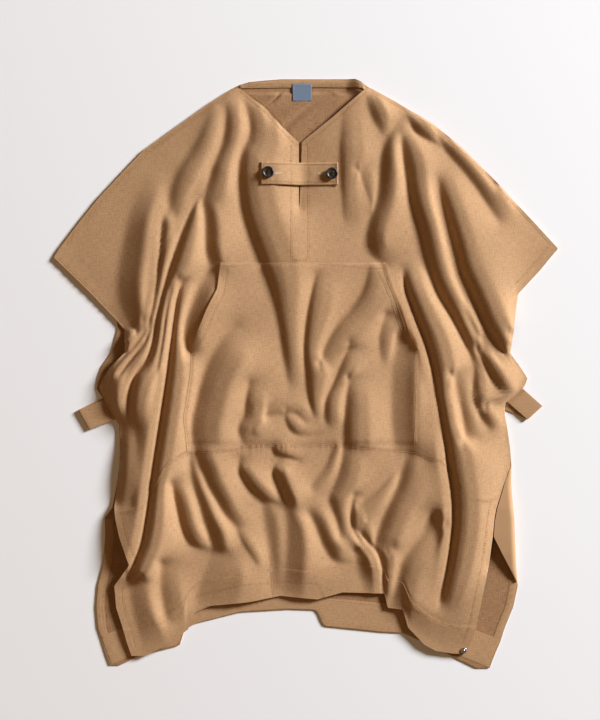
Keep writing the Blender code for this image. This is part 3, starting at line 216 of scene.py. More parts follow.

# %% [markdown]
# ## The folds
# A cloth simulation would fold the cloth somewhere, but not where this garment folds. So each fold is
# given one by one, by its shaded flank, which is what the eye sees of it. A row holds the path of the
# flank's foot, with a size at each point, since folds grow and fade. It holds the width of the dark
# steep part and the reach to the crest, the heights of the foot and of the rise, and how full the rise
# is at the end of the dark part. The crest is on the side of the light, at the upper right. The paths
# were read from the picture, in its own points of 1.7 mm from its upper left corner.

# %% Table of fold flanks
PICTURE_POINT = 1.7
PICTURE_MIDDLE = (306.0, 373.5)
Flank = namedtuple("Flank", "name dark reach foot rise full path lip", defaults=[0.0])
FLANKS = [
    Flank("sleeve hollow left", 24, 34, 2, 15, .6,
          [(145, 178, .2), (131, 212, .8), (123, 248, 1), (118, 285, 1), (124, 312, .9), (139, 336, .4)]),
    Flank("sleeve crease left", 4, 11, 8, 10, .6,
          [(164, 200, .4), (162, 235, .8), (160, 262, 1), (156, 296, 1), (149, 325, 1), (136, 345, 1),
           (121, 360, 1), (109, 374, .9)], 7),
    Flank("bulge fold left", 3, 8, 8, 7, .6,
          [(153, 318, .3), (146, 340, 1), (133, 358, 1), (118, 376, .7)], 5),
    Flank("side crease left", 5, 17, 6, 13, .6,
          [(216, 170, .3), (199, 198, .8), (189, 219, .9), (178, 247, 1), (168, 278, 1), (159, 312, 1),
           (154, 342, 1), (147, 361, 1.1), (136, 375, 1.3), (130, 394, 1.3), (128, 418, .8)], 7),
    Flank("shoulder left", 12, 30, 4, 10, .65,
          [(213, 104, .2), (203, 128, .8), (193, 148, 1), (180, 168, 1), (171, 190, .9), (166, 220, .3)]),
    Flank("shoulder left short", 9, 20, 5, 9, .7,
          [(225, 100, .2), (226, 124, .8), (222, 146, .9), (214, 165, 1), (207, 188, 1), (199, 210, .6)]),
    Flank("long fold", 9, 34, 4, 10, .65,
          [(243, 100, .1), (249, 120, .5), (249, 138, .7), (242, 152, .9), (239, 175, 1), (242, 205, 1),
           (248, 228, 1), (259, 257, 1), (271, 288, .9), (279, 318, .8), (284, 350, .8), (289, 392, .3)]),
    Flank("chest low left", 8, 14, 5, 9, .6,
          [(200, 196, .3), (204, 212, .8), (206, 232, 1), (207, 252, 1), (214, 270, .6)]),
    Flank("pocket mouth left", 12, 17, 3, 10, .6,
          [(210, 268, .4), (197, 290, 1), (188, 312, 1), (184, 335, 1), (186, 356, .4)]),
    Flank("side long crease left", 4, 17, 5, 13, .6,
          [(182, 276, .2), (178, 298, .6), (173, 336, .8), (167, 382, 1), (161, 422, 1.1), (153, 475, 1.1),
           (149, 507, 1.1), (143, 541, 1.1), (135, 562, 1), (126, 582, .5)], 9),
    Flank("side edge left", 8, 18, 1, 10, .7, [(123, 424, .4), (119, 470, 1), (116, 505, .5)]),
    Flank("pocket left broad", 16, 32, 4, 12, .6,
          [(238, 322, .2), (220, 342, .8), (205, 370, 1), (196, 400, 1), (191, 425, .9), (192, 446, .7)]),
    Flank("pocket left soft", 7, 18, 5, 6, .7,
          [(249, 380, .3), (246, 400, 1), (245, 414, 1), (238, 428, .8), (243, 444, .3)]),
    Flank("pocket centre", 6, 24, 5, 7, .7,
          [(316, 272, .3), (310, 300, .8), (306, 330, 1), (305, 352, 1), (307, 372, 1), (310, 398, 1),
           (314, 418, .4)]),
    Flank("swirl lower", 4, 11, 4, 3.5, .7,
          [(285, 406, .2), (286, 420, .9), (292, 431, 1), (301, 435, .9), (318, 434, .2)]),
    Flank("swirl upper", 3, 11, 5, 2.5, .7,
          [(262, 417, .2), (277, 414, .9), (289, 413, 1), (297, 414, .9), (306, 424, .2)]),
    Flank("chest right soft", 7, 24, 5, 5, .7,
          [(342, 112, .3), (340, 150, 1), (341, 180, 1), (343, 222, .3)]),
    Flank("neck hollow right", 8, 16, 5, 6, .7, [(365, 98, .3), (372, 118, 1), (382, 136, .4)]),
    Flank("armhole right", 9, 17, 4, 11, .65,
          [(404, 117, .2), (389, 135, .8), (383, 152, 1), (381, 175, 1), (377, 200, .9), (370, 222, .9),
           (368, 240, .9), (373, 256, .6), (384, 268, .2)]),
    Flank("chest slope right", 6, 16, 7, 2.5, .7,
          [(356, 168, .1), (363, 184, .7), (369, 200, .8), (372, 214, .2)]),
    Flank("long fold right", 8, 22, 5, 13, .62,
          [(398, 128, .3), (403, 157, .7), (406, 177, .8), (411, 204, .9), (420, 232, 1), (428, 266, 1),
           (437, 292, 1), (450, 314, 1), (460, 333, .9), (470, 355, .6), (478, 378, .2)]),
    Flank("sleeve crease right", 6, 22, 6, 14, .62,
          [(436, 176, .2), (443, 206, .6), (449, 228, .8), (456, 254, .9), (461, 273, 1), (469, 291, 1.1),
           (478, 312, 1.1), (487, 331, 1.1), (497, 346, 1), (510, 360, .8)], 3),
    Flank("sleeve soft right", 8, 22, 5, 6, .7,
          [(434, 132, .3), (446, 152, 1), (460, 168, 1), (474, 186, 1), (486, 204, .8), (499, 224, .3)]),
    Flank("shoulder tick right", 6, 14, 5, 6, .7,
          [(406, 113, .3), (413, 130, 1), (424, 139, 1), (442, 147, .3)]),
    Flank("side long crease right", 4, 22, 4, 14, .55,
          [(402, 266, .3), (405, 288, .8), (411, 306, .9), (417, 322, .9), (424, 340, 1), (429, 356, 1),
           (433, 373, 1), (437, 394, 1), (441, 417, 1.1), (445, 442, 1.2), (448, 467, 1.3), (452, 492, 1.3),
           (453, 518, 1.3), (451, 540, 1.2), (448, 561, 1.1), (444, 581, .9), (438, 608, .4)], 8),
    Flank("side soft right", 8, 17, 6, 5, .7,
          [(450, 372, .3), (458, 400, 1), (462, 421, 1), (463, 442, .3)]),
    Flank("side crescent right", 6, 14, 6, 8, .7,
          [(475, 360, .3), (473, 392, 1), (478, 411, 1), (490, 430, .4)]),
    Flank("loop fold right", 5, 12, 7, 8, .65,
          [(474, 344, .3), (487, 371, 1), (496, 386, 1), (507, 399, .6)], 3),
    Flank("loop tuck right", 4, 8, 6, 6, .7, [(481, 409, .3), (495, 403, 1), (507, 401, .8)]),
    Flank("pocket right wide", 20, 26, 4, 8.5, .6,
          [(395, 332, .2), (392, 375, 1), (391, 415, 1), (394, 448, .8)]),
    Flank("pocket right small", 7, 15, 6, 4, .7, [(385, 312, .3), (379, 338, 1), (381, 362, .3)]),
    Flank("pocket right soft", 8, 26, 5, 7, .7,
          [(370, 262, .3), (364, 288, 1), (352, 308, 1), (337, 325, 1), (326, 344, .8), (318, 366, .3)]),
    Flank("pocket right upright", 8, 24, 5, 8, .7,
          [(348, 374, .2), (346, 400, .8), (345, 425, 1), (345, 446, 1)]),
    Flank("pocket right slope", 6, 16, 5, 6, .7,
          [(350, 340, .3), (340, 367, 1), (333, 384, 1), (326, 399, 1), (325, 414, .9), (327, 426, .3)]),
    Flank("waist side left", 9, 15, 4, 8, .75,
          [(195, 448, .8), (199, 462, 1.1), (204, 473, 1.1), (208, 484, 1), (217, 500, .9), (226, 516, .7),
           (239, 530, .4)]),
    Flank("skirt thin line", 3, 8, 7, 2, .7,
          [(236, 528, .3), (242, 542, 1), (250, 554, 1), (257, 565, .3)]),
    Flank("skirt diagonal left", 10, 14, 3, 8, .75,
          [(189, 452, .5), (191, 472, .7), (195, 489, .9), (200, 505, 1), (205, 521, 1.1), (211, 537, 1.2),
           (214, 552, .8)]),
    Flank("skirt hook left", 7, 14, 3, 7, .7,
          [(169, 480, .2), (174, 495, .8), (178, 511, 1), (182, 527, 1), (187, 538, 1), (193, 545, 1),
           (203, 549, .7), (218, 549, .3)]),
    Flank("skirt short left", 6, 12, 4, 7, .75,
          [(240, 457, .3), (239, 470, .8), (247, 484, 1), (256, 494, 1), (267, 501, .8), (283, 505, .2)]),
    Flank("waist tuck", 3, 9, 5, 4, .7, [(270, 446, .3), (277, 454, 1), (286, 457, 1), (300, 461, .3)]),
    Flank("skirt hook", 7, 12, 4, 9, .7,
          [(283, 458, .3), (274, 466, .9), (274, 474, 1), (279, 487, 1), (284, 499, 1), (290, 514, .4)]),
    Flank("skirt hook low", 15, 20, 4, 7.5, .7,
          [(283, 498, .3), (286, 516, .8), (287, 544, 1), (285, 570, 1), (283, 598, .9)]),
    Flank("skirt middle soft", 17, 24, 1, 5, .7,
          [(262, 498, .4), (264, 518, 1), (268, 542, 1), (272, 566, .8), (272, 592, .7)]),
    Flank("waist tick", 5, 10, 5, 4, .7, [(334, 442, .8), (329, 458, 1), (321, 472, .6), (309, 488, .3)]),
    Flank("skirt right soft", 9, 20, 4, 7, .7,
          [(343, 444, .6), (340, 466, 1), (334, 485, 1), (329, 497, 1), (332, 507, 1), (337, 521, 1),
           (340, 540, .5)]),
    Flank("skirt right slope", 9, 14, 3, 7, .75,
          [(306, 510, .3), (315, 524, .8), (321, 538, 1), (327, 550, 1), (333, 559, 1), (342, 563, .7),
           (355, 562, .2)]),
    Flank("skirt slit", 4, 12, 5, 5, .7, [(353, 492, .1), (351, 510, 1), (352, 526, 1), (360, 541, .3)]),
    Flank("skirt flap", 5, 17, 3, 7, .6,
          [(352, 524, .4), (367, 541, 1), (377, 553, 1), (382, 570, 1), (383, 596, 1)], 9),
    Flank("skirt flap patch", 11, 15, 3, 6, .7,
          [(354, 548, .3), (358, 561, 1), (361, 573, 1), (363, 588, .9)]),
    Flank("skirt fall right", 11, 22, 4, 10, .75,
          [(409, 450, .4), (405, 463, .8), (399, 481, 1), (388, 505, 1), (380, 526, 1), (375, 541, .8),
           (378, 556, .3)]),
    Flank("skirt fall short right", 5, 11, 6, 5, .7,
          [(394, 472, .3), (381, 486, 1), (368, 497, 1), (356, 506, .7)]),
    Flank("skirt low right", 11, 20, 5, 8, .75,
          [(433, 512, .1), (424, 530, .5), (410, 549, 1), (402, 561, 1), (399, 572, 1), (396, 586, 1),
           (392, 606, 1)]),
    Flank("vent fold left", 14, 24, 3, 7, .6,
          [(127, 570, .3), (131, 596, .9), (136, 622, 1), (142, 646, 1)]),
    Flank("hem left", 28, 40, 2, 9, .7, [(214, 545, .4), (207, 566, .9), (199, 588, 1), (196, 606, 1)]),
    Flank("hem left outer", 10, 20, 3, 4, .7, [(160, 560, .3), (161, 590, 1), (166, 622, 1)]),
]
print("fold flanks placed:", len(FLANKS))

# %% [markdown]
# Each flank could be a curve object with a height at each point, but a few lists of numbers are easier
# to mix. So a flank becomes rows of points: its foot, a few steps up the dark part, and its crest on
# the light's side. A crest stays clear of the next fold's foot, and a lip is the cloth that stands up
# behind a sharp foot. The rows are in millimetres.

# %% Turn the flanks into rows of points
# One factor on every rise in the table, and the direction to the light, seen from above.
LIFT = 1.65
LIGHT_SIDE = (0.87, 0.5)
# A fold's width at a size of 0, and its rise where it has no room, as shares of the whole.
NARROWEST = 0.6
LOWEST = 0.35
# The share of a path at each end where its pull fades, and how far to the next foot a crest may lie.
END_FADE = 0.25
CREST_SHARE = 0.62
# The step back from the foot to the lip, in picture points.
LIP_STEP = 2.4
# Points to each side that the room is evened over, and end points of a path that block no crest.
ROOM_EVENED = 4
END_POINTS = 3
# The next foot counts where it is this far ahead and this little to the side.
LEAST_AHEAD = 3.0
MOST_ASIDE = 6.0
# Shares of the way from foot to crest, with how firmly the sheet is pulled to each.
FLANK_PLACES = ((0.0, 3.0), (0.12, 1.2), (0.28, 1.2), (0.55, 1.0), (1.0, 0.8))


def smooth_curve(points, steps=8):
    """A smooth curve through a few points."""
    ends = [2 * np.array(points[0]) - points[1], 2 * np.array(points[-1]) - points[-2]]
    knots = np.array([ends[0], *points, ends[1]], float)
    curve = []
    for a, b, c, d in zip(knots, knots[1:], knots[2:], knots[3:]):
        for t in np.linspace(0, 1, steps, endpoint=False):
            curve.append(0.5 * (2 * b + (c - a) * t + (2 * a - 5 * b + 4 * c - d) * t ** 2
                                + (3 * b - a - 3 * c + d) * t ** 3))
    curve.append(knots[-2])
    return np.array(curve)


def flank_path(flank):
    """Places of a flank's foot in millimetres, its sizes, and the directions to its crest."""
    path = smooth_curve(flank.path)
    size = path[:, 2]
    foot = (path[:, :2] - PICTURE_MIDDLE) * [PICTURE_POINT, -PICTURE_POINT]
    to_crest = np.gradient(foot, axis=0)[:, ::-1] * [1, -1]
    to_crest /= np.linalg.norm(to_crest, axis=1)[:, None]
    to_crest *= np.sign(to_crest @ LIGHT_SIDE)[:, None]
    return foot, size, to_crest


def room_to_next(foot, to_crest, other_feet, reach):
    """How far each point's crest may lie before another fold's foot begins."""
    apart = other_feet[None] - foot[:, None]
    ahead = (apart * to_crest[:, None]).sum(axis=2)
    aside = np.abs(apart[..., 0] * to_crest[:, None, 1] - apart[..., 1] * to_crest[:, None, 0])
    ahead = np.where((ahead > LEAST_AHEAD) & (aside < MOST_ASIDE), ahead, 1e6).min(axis=1)
    room = np.minimum(reach, ahead * CREST_SHARE)
    padded = np.pad(room, ROOM_EVENED, mode="edge")
    return np.mean([padded[i:i + len(room)] for i in range(2 * ROOM_EVENED + 1)], axis=0) / reach


def flank_lines(index, paths):
    """A flank's rows of points (x, y, height, pull, sharpness), from its foot to its crest."""
    flank = FLANKS[index]
    foot, size, to_crest = paths[index]
    widen = (NARROWEST + (1 - NARROWEST) * size) * PICTURE_POINT
    others = np.concatenate([path[0][END_POINTS:-END_POINTS] for i, path in enumerate(paths) if i != index])
    room = room_to_next(foot, to_crest, others, flank.reach * widen)
    run = np.linspace(0, 1, len(foot))
    pull = smooth_step(run / END_FADE) * smooth_step((1 - run) / END_FADE)
    sharp = np.full(len(foot), np.clip(1.4 - flank.dark / 8, 0.0, 1.0))
    rise = flank.rise * LIFT * size * (LOWEST + (1 - LOWEST) * room)
    bend = math.log(1 - flank.full) / math.log(1 - flank.dark / flank.reach)
    places = [(flank.reach * share, 1 - (1 - share) ** bend, firm) for share, firm in FLANK_PLACES]
    if flank.lip:
        share = flank.lip / flank.rise
        places += [(-LIP_STEP, share * 0.75, 2.0), (-LIP_STEP * 4, share, 0.8)]
    lines = []
    for place, share, firm in places:
        space = room if place > 0 else 1.0
        there = foot + (place * widen * space)[:, None] * to_crest
        lines.append(np.column_stack([there, flank.foot + rise * share, firm * pull, sharp]))
    return lines

# %% [markdown]
# The heights between the flanks are found as for a stretched sheet: each point takes the mean of its
# neighbours, and points on a foot or a crest are pulled to their own height. So a fold runs out softly
# where its path ends, and the cloth between two folds is one smooth slope. The sheet is worked out
# from a coarse grid to a fine one, since heights travel far in a few rounds on a coarse grid.

# %% Relax a stretched sheet
# The finest step of the grid, and the grid's reach to each side of the middle.
GRID = 1.5
GRID_X = 468
GRID_Y = 528
# Far from all folds, over about this length, the sheet sinks back to its resting height.
FLOOR_REACH = 160.0
ROUNDS = 120


def solve_sheet(step, lines, value, rest, start):
    """Relax a sheet on a grid of one step size: value is the lines' column that it is pulled to."""
    columns = np.arange(-GRID_X, GRID_X + step, step)
    rows = np.arange(-GRID_Y, GRID_Y + step, step)
    total = np.full((len(rows), len(columns)), 1e-6)
    held = np.zeros(total.shape)
    for line in lines:
        count = int(np.hypot(*np.diff(line[:, :2], axis=0).T).sum() / step * 2) + 2
        places = np.linspace(0, len(line) - 1, count)
        x, y, height, pull, sharp = [np.interp(places, np.arange(len(line)), column) for column in line.T]
        column = (x + GRID_X) / step
        row = (y + GRID_Y) / step
        left = column.astype(int)
        low = row.astype(int)
        goal = height if value == "height" else sharp
        for right, share_x in ((0, 1 - column + left), (1, column - left)):
            for up, share_y in ((0, 1 - row + low), (1, row - low)):
                weight = pull * share_x * share_y
                np.add.at(total, (low + up, left + right), weight)
                np.add.at(held, (low + up, left + right), weight * goal)
    target = held / total
    strength = np.minimum(total, 1.0) * 10
    floor_pull = (step / FLOOR_REACH) ** 2
    sheet = np.full(total.shape, rest) if start is None else start
    for _ in range(ROUNDS):
        padded = np.pad(sheet, 1, mode="edge")
        around = padded[:-2, 1:-1] + padded[2:, 1:-1] + padded[1:-1, :-2] + padded[1:-1, 2:]
        sheet = (around + strength * target + floor_pull * rest) / (4 + strength + floor_pull)
    return sheet


def refine(heights):
    """The same sheet on a grid of half the step."""
    rows = np.linspace(0, heights.shape[0] - 1, 2 * heights.shape[0] - 1)
    columns = np.linspace(0, heights.shape[1] - 1, 2 * heights.shape[1] - 1)
    low_row = np.minimum(rows.astype(int), heights.shape[0] - 2)
    low_column = np.minimum(columns.astype(int), heights.shape[1] - 2)
    part_row = (rows - low_row)[:, None]
    part_column = (columns - low_column)[None, :]
    upper = mix(heights[low_row][:, low_column], heights[low_row][:, low_column + 1], part_column)
    lower = mix(heights[low_row + 1][:, low_column], heights[low_row + 1][:, low_column + 1], part_column)
    return mix(upper, lower, part_row)


def soften(heights, spread):
    """Round the sheet with a bell of the given spread in grid steps."""
    reach = int(3 * spread)
    bell = np.exp(-np.arange(-reach, reach + 1) ** 2 / (2 * spread ** 2))
    bell /= bell.sum()
    padded = np.pad(heights, reach, mode="edge")
    rows = sum(weight * padded[i:i + heights.shape[0], :] for i, weight in enumerate(bell))
    return sum(weight * rows[:, i:i + heights.shape[1]] for i, weight in enumerate(bell))

# %% [markdown]
# The front's free edges lie down on the back, apart from the neck's edges, which stand up a little, and
# the right side, which lies on the turned side of the back. They join the sheet as rows of their own.
# At the end the sheet is rounded, more on soft folds than on creases, since cloth has no sharp crests.

# %% Solve the height of the cloth
# The height of cloth that nothing lifts, and the most that it rises to.
LEVEL = 3.0
TALLEST = 32.0
# How far soft folds and creases are rounded, and how far a crease's sharpness spreads, in grid steps.
SOFT_ROUND = 3.0
CREASE_ROUND = 1.3
CREASE_SPREAD = 2.6
EDGE_POINTS = 180
# Heights of the front's edges at levels up the garment.
NECK_RISE = {"front_left": [(280, 1.0), (393, 1.2), (410, 2.5), (440, 4.5), (466, 3.5), (484, 0.6)],
             "front_right": [(280, 1.2), (393, 2.5), (430, 5.0), (458, 8.0), (474, 9.5), (484, 6.0)]}
SIDE_RISE = {"front_left": [(-215, 0.4), (484, 0.4)],
             "front_right": [(-330, 4.5), (-300, 7.5), (-276, 8.7), (-228, 8.7), (-206, 6.7), (-180, 3.7),
                             (-156, 0.7), (-140, 0.4), (484, 0.4)]}


def edge_lines():
    """Free edges of the front, as rows of points like those of the flanks."""
    lines = []
    for name, side in (("front_left", NECK_LEFT), ("front_right", NECK_RIGHT)):
        levels = np.linspace(SHOULDER_POINT, SIDE_RISE[name][0][0], EDGE_POINTS)
        height = np.interp(levels, *zip(*SIDE_RISE[name]))
        firm = np.ones(EDGE_POINTS)
        lines.append(np.column_stack([outline(levels, name), levels, height, firm, firm * 0.3]))
        levels = np.linspace(SHOULDER_POINT, SLIT_END, EDGE_POINTS)
        place = np.where(levels > NECK_POINT, down(side, levels), CENTRE_LINE)
        height = np.interp(levels, *zip(*NECK_RISE[name]))
        lines.append(np.column_stack([place, levels, height, firm, firm * 0.3]))
    return lines


paths = [flank_path(flank) for flank in FLANKS]
fold_lines = [line for index in range(len(FLANKS)) for line in flank_lines(index, paths)]
fold_lines += edge_lines()
heights = None
sharpness = None
for step in (8 * GRID, 4 * GRID, 2 * GRID, GRID):
    heights = solve_sheet(step, fold_lines, "height", LEVEL, None if heights is None else refine(heights))
    sharpness = solve_sheet(step, fold_lines, "sharp", 0.2, None if sharpness is None else refine(sharpness))
heights = mix(soften(heights, SOFT_ROUND), soften(heights, CREASE_ROUND),
              np.clip(soften(sharpness, CREASE_SPREAD), 0, 1))
heights = TALLEST * np.tanh(heights / TALLEST)
print("cloth heights in mm:", round(float(heights.min()), 1), "to", round(float(heights.max()), 1))

# %% [markdown]
# Cloth that lies flat is never quite even, so low swells are added to the solved sheet. The folds are
# calmer near the hem, whose doubled cloth is stiffer. The wall's two faces are then found from the
# sheet: on a slope they lie further apart, so that the cloth is as thick there as on the flat.

# %% Read the cloth's faces from the sheet
# How far above the hem the folds grow to their whole height, and their share of it at the hem.
HEM_CALM = 60.0
HEM_SHARE = 0.45
# Cloth that is lifted less than this lies down on the back.
LYING = 0.5
# The distance over which a slope is measured, and the steepest slope that is made up for.
SLOPE_STEP = 2.5
STEEPEST = 2.0


def cloth_swell(x, y):
    """Heights in millimetres of low uneven swells, about 130 mm and 50 mm wide."""
    broad = np.sin(x / 41 + 1.3 * np.sin(y / 67)) * np.sin(y / 53 + 1.1 * np.sin(x / 71 + 0.6))
    small = np.sin(x / 17 + 1.7 * np.sin(y / 29 + 1.0)) * np.sin(y / 23 + 1.5 * np.sin(x / 31))
    return 0.6 * broad + 0.2 * small


def cloth_middle(x, y):
    """Height of the middle of the front's cloth, read from the solved sheet."""
    x = np.asarray(x, float)
    y = np.asarray(y, float)
    column = (x + GRID_X) / GRID
    row = (y + GRID_Y) / GRID
    low_column = np.clip(column.astype(int), 0, heights.shape[1] - 2)
    low_row = np.clip(row.astype(int), 0, heights.shape[0] - 2)
    share_x = column - low_column
    share_y = row - low_row
    upper = mix(heights[low_row, low_column], heights[low_row, low_column + 1], share_x)
    lower = mix(heights[low_row + 1, low_column], heights[low_row + 1, low_column + 1], share_x)
    above_hem = smooth_step((y - across(FRONT_HEM, x)) / HEM_CALM)
    lifted = mix(upper, lower, share_y) * mix(HEM_SHARE, 1.0, above_hem) + cloth_swell(x, y)
    return REST_ON + CLOTH / 2 + np.maximum(lifted - LYING, 0.0)


def cloth_faces(x, y):
    """Heights of the cloth's top and underside, with the wall as thick on slopes as on the flat."""
    step = SLOPE_STEP
    middle = cloth_middle(x, y)
    slope_x = (cloth_middle(x + step, y) - cloth_middle(x - step, y)) / (2 * step)
    slope_y = (cloth_middle(x, y + step) - cloth_middle(x, y - step)) / (2 * step)
    half = CLOTH / 2 * np.sqrt(1 + np.minimum(slope_x ** 2 + slope_y ** 2, STEEPEST ** 2))
    return middle + half, np.maximum(middle - half, REST_ON)


print("cloth height at the pocket's middle in mm:", round(float(cloth_middle(CENTRE_LINE, 0.0)), 1))

# %% [markdown]
# ## Walls of cloth
# A panel could be a plane with Solidify, but Solidify crosses itself in deep creases. So the top and
# the underside are two grids with the same places, one above the other, and the free edges are joined
# by a narrow rim. A UV map holds the length along the cloth in both directions, in metres, so that the
# weave follows each fold as it does on real cloth.

# %% Make a closed wall of cloth from a grid
def cloth_wall(name, points, low_points, numbers, quads):
    """A closed wall of cloth from its upper and lower points, and the quads that are cloth."""
    count = len(points)
    edges = {}
    for a, b in np.concatenate([quads[:, [0, 1]], quads[:, [1, 2]], quads[:, [2, 3]],
                                quads[:, [3, 0]]]).tolist():
        if edges.pop((b, a), None) is None:
            edges[(a, b)] = True
    rim = np.array([(b, a, a + count, b + count) for a, b in edges])
    faces = np.concatenate([quads, quads[:, ::-1] + count, rim])
    mesh = bpy.data.meshes.new(name)
    mesh.from_pydata((np.concatenate([points, low_points]) * MM).tolist(), [], faces.tolist())
    mesh.shade_smooth()
    mesh.set_sharp_from_angle(angle=math.radians(70))
    add_cloth_uv(mesh, points, numbers)
    piece = bpy.data.objects.new(name, mesh)
    bpy.context.scene.collection.objects.link(piece)
    return piece


def add_cloth_uv(mesh, points, numbers):
    """UV in metres along the cloth: U along the rows, V down the columns."""
    grid = points[numbers]
    along_rows = np.diff(grid, axis=1)
    along_rows = np.hypot(along_rows[..., 0], along_rows[..., 2])
    down_columns = np.diff(grid, axis=0)
    down_columns = np.hypot(down_columns[..., 1], down_columns[..., 2])
    middle = grid.shape[1] // 2
    u = np.concatenate([np.zeros((grid.shape[0], 1)), np.cumsum(along_rows, axis=1)], axis=1)
    u = u + (grid[:, middle, 0] - u[:, middle])[:, None]
    v = np.concatenate([np.zeros((1, grid.shape[1])), np.cumsum(down_columns, axis=0)], axis=0)
    v = grid[0, :, 1] - v
    flat = np.zeros((len(points), 2))
    flat[numbers.ravel()] = np.stack([u.ravel(), v.ravel()], axis=1) * MM
    flat = np.concatenate([flat, flat])
    layer = mesh.uv_layers.new(name="cloth")
    corner = np.empty(len(mesh.loops), np.int32)
    mesh.loops.foreach_get("vertex_index", corner)
    layer.data.foreach_set("uv", flat[corner].ravel())


def grid_quads(numbers):
    """Quads of a whole grid of point numbers whose rows run down the garment."""
    upper, lower = numbers[:-1], numbers[1:]
    quads = np.stack([lower[:, :-1], lower[:, 1:], upper[:, 1:], upper[:, :-1]], axis=-1)
    return quads.reshape(-1, 4)


def flat_area(numbers, points):
    """Area of the cloth in square metres, measured over its top."""
    grid = points[numbers] * MM
    one = np.cross(grid[1:, 1:] - grid[:-1, :-1], grid[1:, :-1] - grid[:-1, 1:])
    return float(np.linalg.norm(one, axis=2).sum() / 2)

# %% [markdown]
# ## The front
# Each half of the front is a grid: columns run from the side to the pocket's edge and on to the centre,
# and rows run from the shoulder to the waist seam. The halves part at the V neck and the slit, and
# share their points below it. The pocket takes the front's own points, moved out, so it can't cut in.

# %% Places of the front's grid
SIDE_SHARES = np.linspace(0, 1, 62, endpoint=False)
POCKET_SHARES = np.linspace(1, 2, 80)
SHARES = np.concatenate([SIDE_SHARES, POCKET_SHARES])
HALF = len(SHARES)
# The level where the rows start to bend down to the waist seam, and the skirt's last level.
BEND_START = 20.0
SKIRT_END = -400.0


def front_centre(level, side):
    """Inner edge of one half: V neck, then slit, then centre line. The slit opens fast at its end."""
    open_share = np.clip(level - SLIT_END, 0.0, None) / (NECK_POINT - SLIT_END)
    slit = CENTRE_LINE + (0.0 if side == "left" else SLIT_WIDTH) * open_share ** 0.6
    neck = down(NECK_LEFT if side == "left" else NECK_RIGHT, level)
    return np.where(level > NECK_POINT, neck, slit)


def front_column(level, share, side):
    """Place of a column: share 0 at the side, 1 at the pocket's edge, 2 at the centre."""
    edge_name = "front_" + side
    pocket_edge = POCKET_LEFT if side == "left" else POCKET_RIGHT
    held = np.clip(level, pocket_edge[-1][1], POCKET_TOP)
    held_edge = outline(held, edge_name)
    part = (down(pocket_edge, held) - held_edge) / (front_centre(held, side) - held_edge)
    edge = outline(level, edge_name)
    centre = front_centre(level, side)
    pocket = mix(edge, centre, part)
    return np.where(share <= 1, mix(edge, pocket, share), mix(pocket, centre, share - 1))


def upper_places(level, share, side):
    """The upper front's rows bend down to the waist seam."""
    place = front_column(level, share, side)
    bend = smooth_step((BEND_START - level) / (BEND_START - WAIST))
    level = level + bend * (across(WAIST_SEAM, place) - WAIST)
    return front_column(level, share, side), level


def lower_places(run, share, side):
    """The skirt's rows go from the waist seam to the hem."""
    place = front_column(mix(WAIST, SKIRT_END, run), share, side)
    level = mix(across(WAIST_SEAM, place), across(FRONT_HEM, place), run)
    return front_column(level, share, side), level


def front_grid(rows, places):
    """x and y of both halves, as arrays of rows and columns."""
    rows = np.asarray(rows, float)[:, None]
    left_x, left_y = places(rows, SHARES[None, :], "left")
    right_x, right_y = places(rows, SHARES[None, ::-1], "right")
    return np.concatenate([left_x, right_x], axis=1), np.concatenate([left_y, right_y], axis=1)


print("columns of the front:", 2 * HALF)

# %% [markdown]
# The upper front is one wall with more rows around the slit and the pocket, where small shapes are.
# Its last row stops a hair short of the waist seam, so that the seam shows as a thin line of shade.
# The left cuff's narrow hem is drawn up by its stitches into small puckers. Those could be cut with a
# sculpting brush, but a wave along the cuff gives the same ones in every run.

# %% Make the upper front
NECK_ROWS, SLIT_ROWS, CHEST_ROWS, POCKET_ROWS = 24, 30, 26, 90
upper_rows = np.concatenate([np.linspace(SHOULDER_POINT, NECK_POINT, NECK_ROWS, endpoint=False),
                             np.linspace(NECK_POINT, SLIT_END, SLIT_ROWS, endpoint=False),
                             np.linspace(SLIT_END, POCKET_TOP, CHEST_ROWS, endpoint=False),
                             np.linspace(POCKET_TOP, WAIST, POCKET_ROWS)])
SLIT_ROW = NECK_ROWS + SLIT_ROWS
POCKET_ROW = SLIT_ROW + CHEST_ROWS
SEAM_HALF_GAP = 0.08
LEFT_CUFF = ((-428.0, 197.0), (-321.0, 90.0))
CUFF_PUCKER = 0.7


def cuff_puckers(x, y):
    """Small swells along the left cuff."""
    (start_x, start_y), (end_x, end_y) = LEFT_CUFF
    length = math.hypot(end_x - start_x, end_y - start_y)
    run = ((x - start_x) * (end_x - start_x) + (y - start_y) * (end_y - start_y)) / length
    inward = ((x - start_x) * (start_y - end_y) + (y - start_y) * (end_x - start_x)) / length
    swell = 0.5 + 0.5 * np.sin(run / 2.4 + 1.1 * np.sin(run / 9.0))
    near = (run > 0) & (run < length)
    return CUFF_PUCKER * swell * np.exp(-(inward / 7.0) ** 2) * near


grid_x, grid_y = front_grid(upper_rows, upper_places)
grid_y[-1] += SEAM_HALF_GAP
numbers = np.arange(grid_x.size).reshape(grid_x.shape)
numbers[SLIT_ROW:, HALF] = numbers[SLIT_ROW:, HALF - 1]
x, y = grid_x.ravel(), grid_y.ravel()
top, under = cloth_faces(x, y)
top += cuff_puckers(x, y)
upper_top = np.column_stack([x, y, top])
upper_under = np.column_stack([x, y, under])
quads = np.concatenate([grid_quads(numbers[:, :HALF]), grid_quads(numbers[:, HALF:])])
front_upper = cloth_wall("front_upper_cloth", upper_top, upper_under, numbers, quads)
print("upper front m2:", round(flat_area(numbers, upper_top), 3))

# %% [markdown]
# The kangaroo pocket is sewn to the front along its top, its lower sides and the waist seam, and is
# open at its two slanted mouths. So its wall stands thick at the mouths, whose edges are folded twice,
# and is pressed thin where it is sewn. A Solidify modifier would make it equally thick all over.

